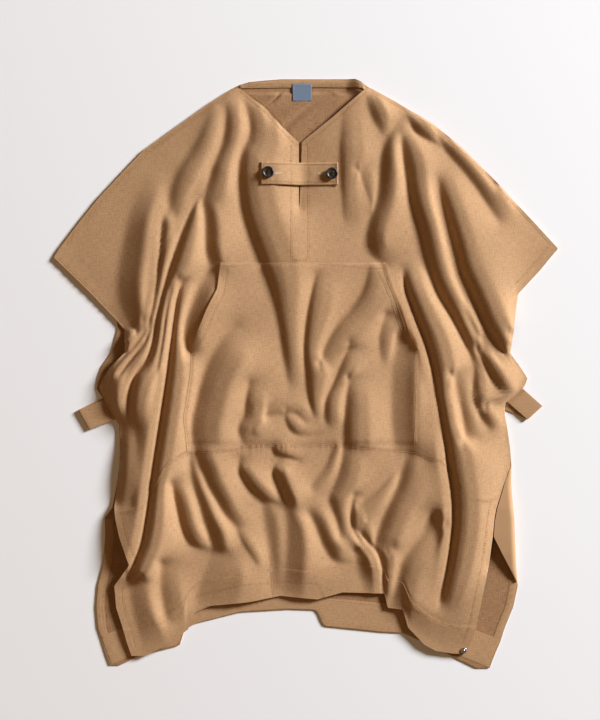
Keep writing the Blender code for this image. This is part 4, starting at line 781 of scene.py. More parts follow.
# %% Make the pocket
POCKET_CLOTH = 1.6
POCKET_GAP = 0.3
# The level where both mouths end, how much thicker their edges are, and how much thinner a sewn edge.
MOUTH_END = 46.0
MOUTH_FOLD = 0.6
PRESSED = 0.75


def pocket_share(x, y):
    """The pocket's thickness as a share: full at its mouths, and pressed thin where it is sewn."""
    beside = np.minimum(x - down(POCKET_LEFT, y), down(POCKET_RIGHT, y) - x)
    sewn = smooth_step((MOUTH_END - y) / 12.0)
    thin = np.maximum(sewn * (1 - smooth_step(beside / 6.0)), 1 - smooth_step((y - WAIST) / 7.0))
    thin = np.maximum(thin, 1 - smooth_step((POCKET_TOP - y) / 5.0))
    mouth = (1 - sewn) * (1 - smooth_step(beside / 9.0))
    return (1 + MOUTH_FOLD * mouth) * (1 - PRESSED * thin)


first = len(SIDE_SHARES)
pocket_numbers = numbers[POCKET_ROW:, first:2 * HALF - first]
pocket_numbers = np.delete(pocket_numbers, HALF - first, axis=1)
used, pocket_local = np.unique(pocket_numbers, return_inverse=True)
pocket_local = pocket_local.reshape(pocket_numbers.shape)
pocket_under = upper_top[used] + [0, 0, POCKET_GAP]
pocket_top = pocket_under.copy()
pocket_top[:, 2] += POCKET_CLOTH * np.maximum((top - under)[used] / CLOTH, 1.0) * pocket_share(x, y)[used]
pocket = cloth_wall("pocket_cloth", pocket_top, pocket_under, pocket_local, grid_quads(pocket_local))
print("pocket m2:", round(flat_area(pocket_local, pocket_top), 3))

# %% [markdown]
# The skirt hangs from the waist seam. Its top edge is folded over the seam and drawn into small
# gathers, so it stands up a little in a short wave, and its deep hem is doubled cloth, which makes a
# low step. Pleats could be folded one by one, but these are too small to show more than their swell.

# %% Make the skirt
lower_rows = np.concatenate([np.linspace(0, 0.12, 14, endpoint=False), np.linspace(0.12, 1, 88)])
HEM_STEP = 0.8
SEAM_RIDGE = 0.5
GATHER = 0.8
# How much the seam is gathered at places along it.
GATHERED = [(-330, 0.15), (-120, 0.3), (-100, 1.0), (-30, 1.0), (-15, 0.3), (20, 0.3), (30, 0.9),
            (75, 0.8), (95, 0.25), (330, 0.15)]


def seam_swell(x, below):
    """How far the skirt's top stands up at a distance below the seam."""
    pleats = (0.4 + 0.6 * np.sin(x / 1.7 + 1.6 * np.sin(x / 6.3))) * np.interp(x, *zip(*GATHERED))
    return SEAM_RIDGE * np.exp(-(below / 5.0) ** 2) + GATHER * pleats * np.exp(-below / 8.0)


skirt_x, skirt_y = front_grid(lower_rows, lower_places)
skirt_y[0] -= SEAM_HALF_GAP
skirt_x = np.delete(skirt_x, HALF, axis=1)
skirt_y = np.delete(skirt_y, HALF, axis=1)
skirt_numbers = np.arange(skirt_x.size).reshape(skirt_x.shape)
x, y = skirt_x.ravel(), skirt_y.ravel()
top, under = cloth_faces(x, y)
top = top + HEM_STEP * smooth_step((across(FRONT_HEM, x) + HEM_DEPTH - y) / 3.0)
top = top + seam_swell(x, across(WAIST_SEAM, x) - y)
skirt_top = np.column_stack([x, y, top])
skirt_under = np.column_stack([x, y, under])
front_lower = cloth_wall("front_lower_cloth", skirt_top, skirt_under, skirt_numbers,
                         grid_quads(skirt_numbers))
print("skirt m2:", round(flat_area(skirt_numbers, skirt_top), 3))

# %% [markdown]
# ## The back
# The back lies flat, so its inside only shows in the neck, in the vents and below the front hem. Low
# on the right its side is turned over to the front as far as the side seam, and the turned edge runs
# on as the vent's slanted edge. So the back is one grid, with a few more columns along that stretch.
# The grid could be bent with a lattice, but a round turn is simpler to work out level by level.

# %% Places of the back and its turned side
BACK_WALL = 1.7
# The side is turned over between these levels, where its inner edge has these places and heights.
TURN_LEVELS = (-345, -162)
TurnedEdge = namedtuple("TurnedEdge", "y x z")
TURNED_SIDE = [TurnedEdge(-156, 347.5, 4.0), TurnedEdge(-180, 338, 7), TurnedEdge(-206, 330, 10),
               TurnedEdge(-228, 323, 12), TurnedEdge(-250, 319, 12), TurnedEdge(-276, 317, 12),
               TurnedEdge(-304, 331, 11), TurnedEdge(-332, 346, 8), TurnedEdge(-356, 358, 4)]
TURN_COLUMNS = 14
TURN_RADIUS = 8.0
# The rows bend down to the hem between these levels.
HEM_BEND = (-330.0, -440.0)


def back_places(level, share):
    """The back's rows bend down to its hem."""
    start, end = HEM_BEND
    place = mix(outline(level, "back_left"), outline(level, "back_right"), share)
    run = np.clip(start - level, 0.0, None) / (start - end)
    level = np.where(run > 0, mix(start, across(BACK_HEM, place), run), level)
    return mix(outline(level, "back_left"), outline(level, "back_right"), share), level


def turned_line(level, edge):
    """Outer and inner points of the turned side at one level, from the fold to the edge it ends in."""
    table = np.array(sorted(TURNED_SIDE), float)
    end_x = np.interp(level, table[:, 0], table[:, 1]) + 0.8
    end_z = np.interp(level, table[:, 0], table[:, 2])
    half = BACK_WALL / 2
    radius = min(TURN_RADIUS, (edge - end_x) * 0.7)
    turns = np.linspace(0, math.pi / 2, TURN_COLUMNS // 2 + 1)[1:]
    middle = [(edge - half - radius * (1 - math.cos(t)), half + (end_z - half) * math.sin(t), t)
              for t in turns]
    flat = np.linspace(edge - half - radius, end_x, TURN_COLUMNS // 2 + 1)[1:]
    middle += [(x, end_z, math.pi / 2) for x in flat]
    outer = [(x + half * math.cos(t), level, z + half * math.sin(t)) for x, z, t in middle]
    inner = [(x - half * math.cos(t), level, z - half * math.sin(t)) for x, z, t in middle]
    return outer, inner


print("levels of the turned side:", len(TURNED_SIDE))

# %% [markdown]
# In the neck opening the inside of the back has three creases, and the right end of the neck's edge
# stands up and shades the corner beside it. The creases could be cut into the mesh, but each is given
# as a narrow valley between two broad low swells, which is how pressed cloth stands beside a crease.

# %% Creases in the neck
# A crease has the height of its swells, the widths of the valley and of the swells, and its path.
Crease = namedtuple("Crease", "rise narrow broad path")
NECK_CREASES = [
    Crease(3.2, 2.8, 17, [(260, 108), (270, 103), (277, 97), (282, 91), (287, 87)]),
    Crease(2.0, 2.2, 8, [(249, 98), (262, 94), (272, 91)]),
    Crease(3.0, 7.0, 26, [(285, 128), (300, 114), (318, 101), (331, 94)]),
]
# The level just below the neck band where the creases end, and the height of the edge's curl.
CREASE_END = 479.0
CURL = 7.0


def neck_rise(x, y):
    """How far the back's inside is pushed up beside the creases in the neck opening."""
    inside = np.minimum(np.minimum(x - down(NECK_LEFT, y) + 6.0, down(NECK_RIGHT, y) - x), CREASE_END - y)
    rise = np.zeros(x.shape)
    for crease in NECK_CREASES:
        line = smooth_curve([(px, py, 0) for px, py in crease.path])[:, :2]
        line = (line - PICTURE_MIDDLE) * [PICTURE_POINT, -PICTURE_POINT]
        away = np.hypot(x[..., None] - line[:, 0], y[..., None] - line[:, 1]).min(axis=-1)
        valley = (1 - np.exp(-(away / crease.narrow) ** 2)) * np.exp(-(away / crease.broad) ** 2)
        rise += crease.rise * valley
    return rise * smooth_step(inside / 7.0)


def neck_curl(x, y):
    """How far the right end of the neck's edge stands up."""
    return CURL * smooth_step((x - 68) / 24) * smooth_step((108 - x) / 12) * smooth_step((y - 466) / 16)


print("creases in the neck:", len(NECK_CREASES))

# %% Make the back
BACK_COLUMNS = 150
back_rows = np.concatenate([np.linspace(500, 480, 8, endpoint=False),
                            np.linspace(480, 385, 60, endpoint=False),
                            np.linspace(385, -150, 60, endpoint=False),
                            np.linspace(-150, TURN_LEVELS[0], 60, endpoint=False),
                            np.linspace(TURN_LEVELS[0], HEM_BEND[1], 30)])
shares = np.linspace(0, 1, BACK_COLUMNS + 1)
back_x, back_y = back_places(back_rows[:, None], shares[None, :])
back_numbers = np.arange(back_x.size).reshape(back_x.shape)
curl = neck_curl(back_x, back_y)
inside_z = BACK_WALL + neck_rise(back_x, back_y) + curl
inside = np.column_stack([back_x.ravel(), back_y.ravel(), inside_z.ravel()]).tolist()
outside = np.column_stack([back_x.ravel(), back_y.ravel(), curl.ravel()]).tolist()
turned_numbers = []
for row in np.flatnonzero((back_rows >= TURN_LEVELS[0]) & (back_rows <= TURN_LEVELS[1])):
    corner = int(back_numbers[row, -1])
    edge, level, _ = outside[corner]
    outer, inner = turned_line(level, edge)
    inside[corner][0] = edge - BACK_WALL
    turned_numbers.append([corner] + list(range(len(outside), len(outside) + len(outer))))
    outside += outer
    inside += inner
turned_numbers = np.array(turned_numbers)
back_quads = np.concatenate([grid_quads(back_numbers), grid_quads(turned_numbers)])
inside = np.array(inside)
outside = np.array(outside)
back = cloth_wall("back_cloth", inside, outside, back_numbers, back_quads)
print("back m2:", round(flat_area(back_numbers, inside), 3))

# %% [markdown]
# ## The neck band and the label
# A narrow band of the same cloth closes the back of the neck, sewn down by two rows of stitches. Over
# its lower edge lies a small woven label, left bare. Both could be flattened boxes, but walls
# between an upper and a lower edge keep the weave's UV map. They are thinner at the rim, where the
# cloth is folded under, and the band's right end stands up with the neck's edge.

# %% Neck band and label
def flat_wall(name, upper, lower, low, high, cells, rim_drop):
    """A flat wall between two edges, given as points in millimetres, with its rim a little lower."""
    columns, rows = cells
    places = np.linspace(0, 1, columns + 1)
    edges = []
    for edge in (upper, lower):
        edge = np.array(edge, float)
        run = np.linspace(0, 1, len(edge))
        edges.append(np.column_stack([np.interp(places, run, column) for column in edge.T]))
    shares = np.linspace(0, 1, rows + 1)[:, None, None]
    flat = mix(edges[0][None], edges[1][None], shares)
    numbers = np.arange((rows + 1) * (columns + 1)).reshape(rows + 1, columns + 1)
    inner = np.zeros(numbers.shape)
    inner[1:-1, 1:-1] = 1.0
    top = high - rim_drop * (1 - inner)
    points = np.column_stack([flat.reshape(-1, 2), top.ravel()])
    low_points = np.column_stack([flat.reshape(-1, 2), np.full(points.shape[0], low)])
    return cloth_wall(name, points, low_points, numbers, grid_quads(numbers))


BAND_LOW, BAND_HIGH = 2.0, 3.4
LABEL_LOW, LABEL_HIGH = 3.7, 4.4
neck_band = flat_wall("neck_band_cloth",
                      [(-113, 489), (-93, 494), (-41, 498.5), (20, 499), (83, 498), (94, 493), (101, 485)],
                      [(-111, 484), (-92, 484.5), (-41, 485.5), (20, 486), (83, 485.5), (93, 484), (99, 481)],
                      BAND_LOW, BAND_HIGH, (60, 6), 0.5)
for point in neck_band.data.vertices:
    point.co.z += float(neck_curl(point.co.x / MM, point.co.y / MM)) * MM
label = flat_wall("label_cloth", [(-23, 492), (9.5, 491.5)], [(-22.5, 463), (9.5, 463)], LABEL_LOW,
                  LABEL_HIGH, (26, 24), 0.2)
print("height over the neck band in mm:", BAND_HIGH, "and over the label:", LABEL_HIGH)

# %% [markdown]
# ## Hem band and facings of the back
# The back's hem and the sides of its vents are folded to the inside and sewn down, so bands of the
# brushed face lie on the plainer inside of the cloth. They could be drawn by the material alone, but
# a real fold leaves a small step that catches the light. So each is a thin flat wall beside the edge.

# %% Hem band and facings
FACING_LOW, FACING_HIGH = 1.75, 2.3
FACING_WIDTH = 13.5
# How much lower a band's rim is, and how far inside the back's edge it begins.
FACING_RIM = 0.25
FACING_INSET = 0.8
share = np.linspace(0, 1, 140)
hem_places = mix(-330.0, 310.0, share)
hem_levels = across(BACK_HEM, hem_places)
back_hem = flat_wall("back_hem_band",
                     np.column_stack([mix(-348.0, 330.0, share), hem_levels + HEM_DEPTH]),
                     np.column_stack([hem_places, hem_levels + FACING_INSET]),
                     FACING_LOW, FACING_HIGH, (140, 8), FACING_RIM)
levels = np.linspace(-247, -449, 60)
outer = outline(levels, "back_left") + FACING_INSET
facing_left = flat_wall("vent_facing_left", np.column_stack([outer + FACING_WIDTH, levels]),
                        np.column_stack([outer, levels]), FACING_LOW, FACING_HIGH, (60, 4), FACING_RIM)
levels = np.linspace(-350, -451, 40)
outer = outline(levels, "back_right") - FACING_INSET
facing_right = flat_wall("vent_facing_right", np.column_stack([outer, levels]),
                         np.column_stack([outer - FACING_WIDTH, levels]), FACING_LOW, FACING_HIGH,
                         (40, 4), FACING_RIM)
facings = [back_hem, facing_left, facing_right]
print("bands on the back's inside:", [piece.name for piece in facings])

# %% [markdown]
# ## The tab
# The tab is a doubled strip of the cloth across the slit, held by its buttons. It bridges the small
# hollows below it instead of following them. So its underside is the highest cloth around each point,
# made softer, and its top swells between a thin edge and the row of stitches just inside it.

# %% Neck tab
TAB_X = (-76.5, 54.5)
TAB_Y = (319.0, 357.5)
TAB_WALL = 2.4
# How far the strip bridges, the least gap under it, and how far in from its edge it is stitched.
BRIDGE = 8.0
TAB_GAP = 0.3
TAB_INSET = 4.0
tab_x, tab_y = np.meshgrid(np.linspace(*TAB_X, 89), np.linspace(*TAB_Y[::-1], 27))
tab_numbers = np.arange(tab_x.size).reshape(tab_x.shape)
cloth_below = cloth_faces(tab_x, tab_y)[0]
highest = cloth_below
for right in (-BRIDGE, 0.0, BRIDGE):
    for up in (-BRIDGE, 0.0, BRIDGE):
        highest = np.maximum(highest, cloth_faces(tab_x + right, tab_y + up)[0])
tab_under = np.maximum(soften(highest, 3.0), cloth_below + TAB_GAP)
edge_distance = np.minimum(np.minimum(tab_x - TAB_X[0], TAB_X[1] - tab_x),
                           np.minimum(tab_y - TAB_Y[0], TAB_Y[1] - tab_y))
tab_swell = 0.45 + 0.55 * smooth_step(edge_distance / 1.6) - 0.2 * np.exp(-(edge_distance - TAB_INSET) ** 2)
tab_top = tab_under + TAB_WALL * tab_swell
tab = cloth_wall("neck_tab_cloth",
                 np.column_stack([tab_x.ravel(), tab_y.ravel(), tab_top.ravel()]),
                 np.column_stack([tab_x.ravel(), tab_y.ravel(), tab_under.ravel()]),
                 tab_numbers, grid_quads(tab_numbers))
print("tab top in mm:", round(float(tab_top.min()), 1), "to", round(float(tab_top.max()), 1))

# %% [markdown]
# ## The strap loops
# At each side a strap is folded in half and sewn into the side seam by both ends, so that it stands
# out as a loop. The lower layer looks out a little above the upper one, as the strap is folded at a
# slant. Each loop is one wall along the strap's path: out above, round the fold, and back below.

# %% Side loops
Loop = namedtuple("Loop", "name seam_top seam_bottom end_top end_bottom lower_shift")
LOOPS = [
    Loop("side_loop_left", (-341, -44), (-322, -77), (-387, -62), (-367, -94), (9, 9)),
    Loop("side_loop_right", (365, -23), (340, -46), (401, -55), (379, -86), (-3, -14)),
]
LOOP_WALL = 1.5
# Heights of the strap's lower and upper layer, points across it, and its thickness at the rim.
LOOP_HEIGHTS = (1.0, 4.2)
LOOP_POINTS = 9
LOOP_RIM = 0.7


def make_loop(loop):
    """A folded strap: stations along its path, each with two sides."""
    corners = [np.array(corner, float) for corner in loop[1:5]]
    out = corners[2] - corners[0]
    length = np.hypot(*out)
    out /= length
    radius = (LOOP_HEIGHTS[1] - LOOP_HEIGHTS[0]) / 2
    middle_height = sum(LOOP_HEIGHTS) / 2
    stations = [(run, LOOP_HEIGHTS[1], math.pi / 2) for run in np.linspace(0, length - radius, 12)]
    stations += [(length - radius + radius * math.cos(turn), middle_height + radius * math.sin(turn), turn)
                 for turn in np.linspace(math.pi / 2, -math.pi / 2, 9)[1:-1]]
    stations += [(run, LOOP_HEIGHTS[0], -math.pi / 2) for run in np.linspace(length - radius, 0, 12)]
    points = []
    low_points = []
    for run, height, turn in stations:
        below = 0.5 - 0.5 * math.sin(turn)
        shift = np.array(loop.lower_shift) * below * (1 - run / length)
        for share in np.linspace(0, 1, LOOP_POINTS):
            flat = mix(corners[0], corners[1], share) + out * run + shift
            half = LOOP_WALL / 2 * (LOOP_RIM if share in (0, 1) else 1.0)
            away = np.array([*(out * math.cos(turn)), math.sin(turn)])
            points.append(np.array([*flat, height]) + away * half)
            low_points.append(np.array([*flat, height]) - away * half)
    numbers = np.arange(len(points)).reshape(len(stations), LOOP_POINTS)
    quads = grid_quads(numbers)
    seam = corners[1] - corners[0]
    if seam[0] * out[1] - seam[1] * out[0] < 0:
        quads = quads[:, ::-1]
    return cloth_wall(loop.name + "_cloth", np.array(points), np.array(low_points), numbers, quads)


side_loops = {loop.name: make_loop(loop) for loop in LOOPS}
print("side loops:", list(side_loops))

# %% [markdown]
# ## Buttons and snap
# The buttons are turned: a profile with a raised rim and a dish is spun round its axis, and four
# holes are bored through. The snap on the hem corner is spun in the same way from its own profile.

# %% Tools for turned pieces
def activate(piece):
    """Make one piece the only selected one and the active one."""
    bpy.ops.object.select_all(action="DESELECT")
    piece.select_set(True)
    bpy.context.view_layer.objects.active = piece


def turned_piece(name, profile, steps):
    """Spin a profile of (radius, height) in millimetres round the upright axis."""
    mesh = bpy.data.meshes.new(name)
    points = [(radius * MM, 0, height * MM) for radius, height in profile]
    mesh.from_pydata(points, [(i, i + 1) for i in range(len(points) - 1)], [])
    piece = bpy.data.objects.new(name, mesh)
    bpy.context.scene.collection.objects.link(piece)
    activate(piece)
    bpy.ops.object.mode_set(mode="EDIT")
    bpy.ops.mesh.select_all(action="SELECT")
    bpy.ops.mesh.spin(steps=steps, angle=2 * math.pi, center=(0, 0, 0), axis=(0, 0, 1))
    bpy.ops.mesh.select_all(action="SELECT")
    bpy.ops.mesh.remove_doubles(threshold=0.01 * MM)
    bpy.ops.mesh.normals_make_consistent(inside=False)
    bpy.ops.object.mode_set(mode="OBJECT")
    return piece


def bore_holes(piece, spread, radius):
    """Bore four holes through a piece with one joined cutter."""
    cutters = []
    for x in (-spread, spread):
        for y in (-spread, spread):
            bpy.ops.mesh.primitive_cylinder_add(vertices=20, radius=radius, depth=20 * MM, location=(x, y, 0))
            cutters.append(bpy.context.object)
    bpy.ops.object.select_all(action="DESELECT")
    for cutter in cutters:
        cutter.select_set(True)
    bpy.context.view_layer.objects.active = cutters[0]
    bpy.ops.object.join()
    drill = bpy.context.object
    activate(piece)
    cut = piece.modifiers.new("holes", "BOOLEAN")
    cut.operation = "DIFFERENCE"
    cut.solver = "EXACT"
    cut.object = drill
    bpy.ops.object.modifier_apply(modifier="holes")
    bpy.data.objects.remove(drill)


def set_down(piece, place):
    """Move a piece to its place and leave it there with its origin at the world's."""
    activate(piece)
    piece.location = place
    bpy.ops.object.transform_apply(location=True, rotation=True, scale=True)


# %% Buttons
BUTTON_PROFILE = [(0, 2.0), (3.0, 1.95), (5.4, 2.0), (6.4, 2.3), (7.2, 2.95), (8.0, 3.3), (8.8, 3.35),
                  (9.5, 3.0), (9.95, 2.3), (10.0, 1.8), (9.6, 1.1), (8.2, 0.5), (6.0, 0.2), (0, 0.1)]
BUTTONS = {"button_left": (-64.0, 340.0), "button_right": (44.0, 339.0)}
# The holes' distance from the button's middle, in both directions, and their radius.
HOLE_SPREAD = 2.3
HOLE_RADIUS = 1.1
# The square of the tab that a button rests on, to each side, and the gap under the button.
SEAT_REACH = 10.5
SEAT_GAP = 0.3
buttons = {}
button_seats = {}
for name, (x, y) in BUTTONS.items():
    around = (abs(tab_x - x) < SEAT_REACH) & (abs(tab_y - y) < SEAT_REACH)
    seat = float(tab_top[around].max()) + SEAT_GAP
    button = turned_piece(name + "_resin", BUTTON_PROFILE, 56)
    bore_holes(button, HOLE_SPREAD * MM, HOLE_RADIUS * MM)
    button.data.shade_smooth()
    button.data.set_sharp_from_angle(angle=math.radians(40))
    set_down(button, (x * MM, y * MM, seat * MM))
    buttons[name] = button
    button_seats[name] = seat
print("button seats in mm:", {name: round(seat, 1) for name, seat in button_seats.items()})

# %% Snap
SNAP_PROFILE = [(0, 2.2), (1.0, 2.15), (1.6, 1.9), (1.9, 1.4), (2.4, 1.05), (3.2, 1.0), (3.9, 1.3),
                (4.4, 1.15), (4.7, 0.7), (4.6, 0.1), (0, 0.1)]
SNAP_PLACE = (267.4, -469.4)
# The snap sits on the doubled cloth of the hem, this much above the front's own height there.
SNAP_LIFT = 1.0
snap = turned_piece("snap_metal", SNAP_PROFILE, 40)
snap.data.shade_smooth()
snap.data.set_sharp_from_angle(angle=math.radians(50))
around = np.array([-5.0, 0.0, 5.0])
cloth_around = cloth_faces(SNAP_PLACE[0] + around[:, None], SNAP_PLACE[1] + around[None, :])[0]
snap_seat = float(cloth_around.max() + SNAP_LIFT)
set_down(snap, (SNAP_PLACE[0] * MM, SNAP_PLACE[1] * MM, snap_seat * MM))
print("snap seat in mm:", round(snap_seat, 1))

# %% [markdown]
# ## Stitching
# Every edge of the garment is topstitched. Each stitch is a small bead of thread that lies on the
# cloth: it is found by a ray from above, so it sits on whichever fold is there. The rows of stitches
# are read from the picture, and the ones that run along an edge are set in from the outline.

# %% Tools for stitches
STITCH_PITCH = 3.3
STITCH_LENGTH = 2.5
STITCH_WIDTH = 0.85
# A bead's rings: how far along the stitch each is, and its share of the width.
BEAD_RINGS = ((0.15, 0.8), (0.5, 1.0), (0.85, 0.8))


def picture(*points):
    """Points of the picture in millimetres."""
    return (np.array(points, float) - PICTURE_MIDDLE) * [PICTURE_POINT, -PICTURE_POINT]


def inset_edge(name, levels, inset):
    """A side of the outline, moved in towards the middle of the garment."""
    line = np.column_stack([outline(levels, name), levels])
    step = np.gradient(line, axis=0)
    sideways = np.column_stack([-step[:, 1], step[:, 0]])
    sideways /= np.linalg.norm(sideways, axis=1)[:, None]
    inward = -np.sign(line[:, 0])
    sideways *= np.sign(sideways[:, 0] * inward)[:, None]
    return line + sideways * inset


def drop_to(pieces, x, y):
    """Height of the highest of some pieces at one place, in millimetres."""
    hits = []
    for piece in pieces:
        found, place, _, _ = piece.ray_cast((x * MM, y * MM, 0.2), (0, 0, -1))
        if found:
            hits.append(place.z / MM)
    return max(hits) if hits else None


def stitch_row(line, pieces, pitch=STITCH_PITCH, length=STITCH_LENGTH):
    """Start and end of each stitch along a line in millimetres."""
    line = np.asarray(line, float)
    run = np.concatenate([[0], np.cumsum(np.hypot(*np.diff(line, axis=0).T))])
    stitches = []
    for start in np.arange(0.4, run[-1] - length, pitch):
        ends = []
        for place in (start, start + length):
            x, y = np.interp(place, run, line[:, 0]), np.interp(place, run, line[:, 1])
            ends.append((x, y, drop_to(pieces, x, y)))
        if all(end[2] is not None for end in ends) and abs(ends[0][2] - ends[1][2]) < length:
            stitches.append(ends)
    return stitches


def thread_mesh(name, stitches, width=STITCH_WIDTH, lift=0.15):
    """One mesh of thread beads from starts and ends in millimetres."""
    ends = np.array(stitches, float)
    start, end = ends[:, 0], ends[:, 1]
    step = end - start
    sideways = np.column_stack([-step[:, 1], step[:, 0], np.zeros(len(step))])
    sideways /= np.linalg.norm(sideways, axis=1)[:, None]
    up = np.array([0, 0, 1.0])
    rings = []
    for share, size in BEAD_RINGS:
        middle = start + share * step + up * lift
        half = width / 2 * size
        rings.append(np.stack([middle + sideways * half, middle + up * half * 0.8,
                               middle - sideways * half, middle - up * half], axis=1))
    points = np.concatenate([start[:, None], *rings, end[:, None]], axis=1)
    bead = []
    for i, j in ((0, 1), (1, 2), (2, 3), (3, 0)):
        bead.append((0, 1 + j, 1 + i))
        for ring in (1, 5):
            bead.append((ring + i, ring + j, ring + 4 + j, ring + 4 + i))
        bead.append((9 + i, 9 + j, 13))
    count = points.shape[1]
    faces = [[index * count + corner for corner in face] for index in range(len(points)) for face in bead]
    mesh = bpy.data.meshes.new(name)
    mesh.from_pydata((points.reshape(-1, 3) * MM).tolist(), [], faces)
    mesh.shade_smooth()
    piece = bpy.data.objects.new(name, mesh)
    bpy.context.scene.collection.objects.link(piece)
    return piece

# %% Rows of topstitching
front = [front_upper]
on_pocket = [pocket]
skirt = [front_lower]
shoulder_levels = np.linspace(478, 222, 60)
left_cuff_levels = np.linspace(194, 84, 40)
right_cuff_levels = np.linspace(204, 142, 30)
hem_x = np.linspace(-285, 262, 160)
ROWS = [
    (smooth_curve(picture((239, 91), (254, 104), (266, 114), (280, 130), (297, 147))), front),
    (smooth_curve(picture((366, 93), (355, 103), (334, 122), (319, 134), (306, 145))), front),
    (picture((291, 146), (291, 261), (308, 261), (308, 144)), front),
    (inset_edge("front_left", shoulder_levels, 4.5), front),
    (inset_edge("front_left", shoulder_levels, 8.0), front),
    (inset_edge("front_right", shoulder_levels, 5.0), front),
    (inset_edge("front_left", left_cuff_levels, 4.0), front),
    (inset_edge("front_right", right_cuff_levels, 15.0), front),
    (inset_edge("front_right", np.linspace(80, 20, 20), 9.0), front),
    (picture((222, 267), (291, 263), (320, 264), (361, 268), (385, 269)), on_pocket),
    (smooth_curve(picture((228, 268), (225, 291), (215, 312), (207, 331), (199, 347))), on_pocket),
    (smooth_curve(picture((223, 268), (220, 290), (210, 311), (202, 329), (195, 345))), on_pocket),
    (smooth_curve(picture((378, 272), (386, 290), (394, 311), (406, 344))), on_pocket),
    (smooth_curve(picture((383, 271), (390, 289), (398, 309), (408, 338))), on_pocket),
    (picture((193.5, 354), (193, 376), (186.5, 418), (189.5, 447)), on_pocket),
    (picture((417, 352), (413.5, 445)), on_pocket),
    (np.column_stack([np.linspace(-318, 314, 200), across(WAIST_SEAM, np.linspace(-318, 314, 200)) - 3.5]),
     skirt),
    (np.column_stack([hem_x, across(FRONT_HEM, hem_x) + HEM_DEPTH - 2.0]), skirt),
    (inset_edge("front_left", np.linspace(-240, -470, 50), 13.0), skirt),
    (inset_edge("front_right", np.linspace(-216, -465, 50), 13.0), skirt),
    (picture((270, 554), (273, 597)), skirt),
    (inset_edge("back_left", np.linspace(-250, -448, 50), 12.0), [facing_left]),
    (inset_edge("back_right", np.linspace(-352, -449, 40), 12.0), [facing_right]),
    (np.column_stack([hem_x, across(BACK_HEM, hem_x) + HEM_DEPTH - 2.5]), [back_hem]),
    (picture((257, 600), (259, 607)), [back_hem]),
    (np.column_stack([np.linspace(-108, 96, 60), np.full(60, 487.5)]), [neck_band]),
    (np.column_stack([np.linspace(-108, 96, 60), np.full(60, 491.0)]), [neck_band]),
]
box_x = (TAB_X[0] + TAB_INSET, TAB_X[1] - TAB_INSET)
box_y = (TAB_Y[0] + TAB_INSET, TAB_Y[1] - TAB_INSET)
ROWS.append(([(box_x[i], box_y[j]) for i, j in ((0, 0), (1, 0), (1, 1), (0, 1), (0, 0))], [tab]))
for loop in LOOPS:
    start, end, far = [np.array(corner, float) for corner in (loop.seam_top, loop.seam_bottom, loop.end_top)]
    out = (far - start) / np.linalg.norm(far - start)
    for distance in (5.0, 9.0):
        ROWS.append(([start + out * distance, end + out * distance], [side_loops[loop.name]]))
stitches = [stitch for line, pieces in ROWS for stitch in stitch_row(line, pieces)]
topstitching = thread_mesh("topstitching", stitches)
print("topstitches:", len(stitches))

# %% [markdown]
# A row of stitches draws the cloth in, so a line of shade runs along it that is wider than the thread
# itself. The rows could be painted into a picture, but a picture has no use on a cloth whose size may
# change. So each point keeps how near it is to a row, and the cloth's material reads that: it darkens
# its colour there as painted shade, and lowers its bump.

# %% Mark the cloth beside the stitches
SEAM_REACH = 2.2


def mark_seams(pieces):
    """Store on each point how near it is to a stitch, from 0 to 1."""
    tree = KDTree(len(stitches))
    for index, (start, end) in enumerate(stitches):
        tree.insert(((start[0] + end[0]) / 2, (start[1] + end[1]) / 2, 0.0), index)
    tree.balance()
    for piece in pieces:
        near = [math.exp(-(tree.find((point.co.x / MM, point.co.y / MM, 0.0))[2] / SEAM_REACH) ** 2)
                for point in piece.data.vertices]
        piece.data.attributes.new("seam", "FLOAT", "POINT").data.foreach_set("value", near)


cloth_pieces = [front_upper, front_lower, pocket, back, neck_band, tab, *side_loops.values(), *facings]
mark_seams(cloth_pieces)
print("cloth pieces marked:", len(cloth_pieces))

# %% [markdown]
# The buttonholes are bars of close stitches on both sides of a cut, the buttons are held by two pairs
# of threads from hole to hole, and a pale woven line frames the bare label. Each could be a curve with
# a bevel, but the beads of the topstitching, set closer, give the same look with few faces.

# %% Buttonholes, button threads and the label's frame
# Ends of the buttonholes, their level, and how far their stitches reach from the cut.
BUTTONHOLES = ((-54.4, -40.0), (20.4, 34.0))
BUTTONHOLE_LEVEL = 338.3
BUTTONHOLE_REACH = (0.25, 1.9)
# Height of the button's threads over its seat, and half their length.
THREAD_HEIGHT = 1.5
THREAD_REACH = 2.6
buttonhole_stitches = []
for left, right in BUTTONHOLES:
    for x in np.arange(left, right, 0.85):
        for side in (1, -1):
            levels = [BUTTONHOLE_LEVEL + side * reach for reach in BUTTONHOLE_REACH]
            buttonhole_stitches.append([(x, y, drop_to([tab], x, y)) for y in levels])
buttonholes = thread_mesh("buttonhole_thread", buttonhole_stitches, width=0.8, lift=0.1)
frame_line = [(-21.3, 490.4), (8.0, 490.0), (8.0, 464.4), (-21.0, 464.4), (-21.3, 490.4)]
frame_stitches = stitch_row(frame_line, [label], 1.2, 1.1)
label_frame = thread_mesh("label_frame_thread", frame_stitches, width=0.9, lift=0.0)
button_stitches = []
for name, (x, y) in BUTTONS.items():
    height = button_seats[name] + THREAD_HEIGHT
    for side in (-HOLE_SPREAD, HOLE_SPREAD):
        for part in (-0.35, 0.35):
            level = y + side + part
            button_stitches.append([(x - THREAD_REACH, level, height), (x + THREAD_REACH, level, height)])
button_thread = thread_mesh("button_thread", button_stitches, width=0.8, lift=0.9)
print("buttonhole stitches:", len(buttonhole_stitches), "label frame stitches:", len(frame_stitches))

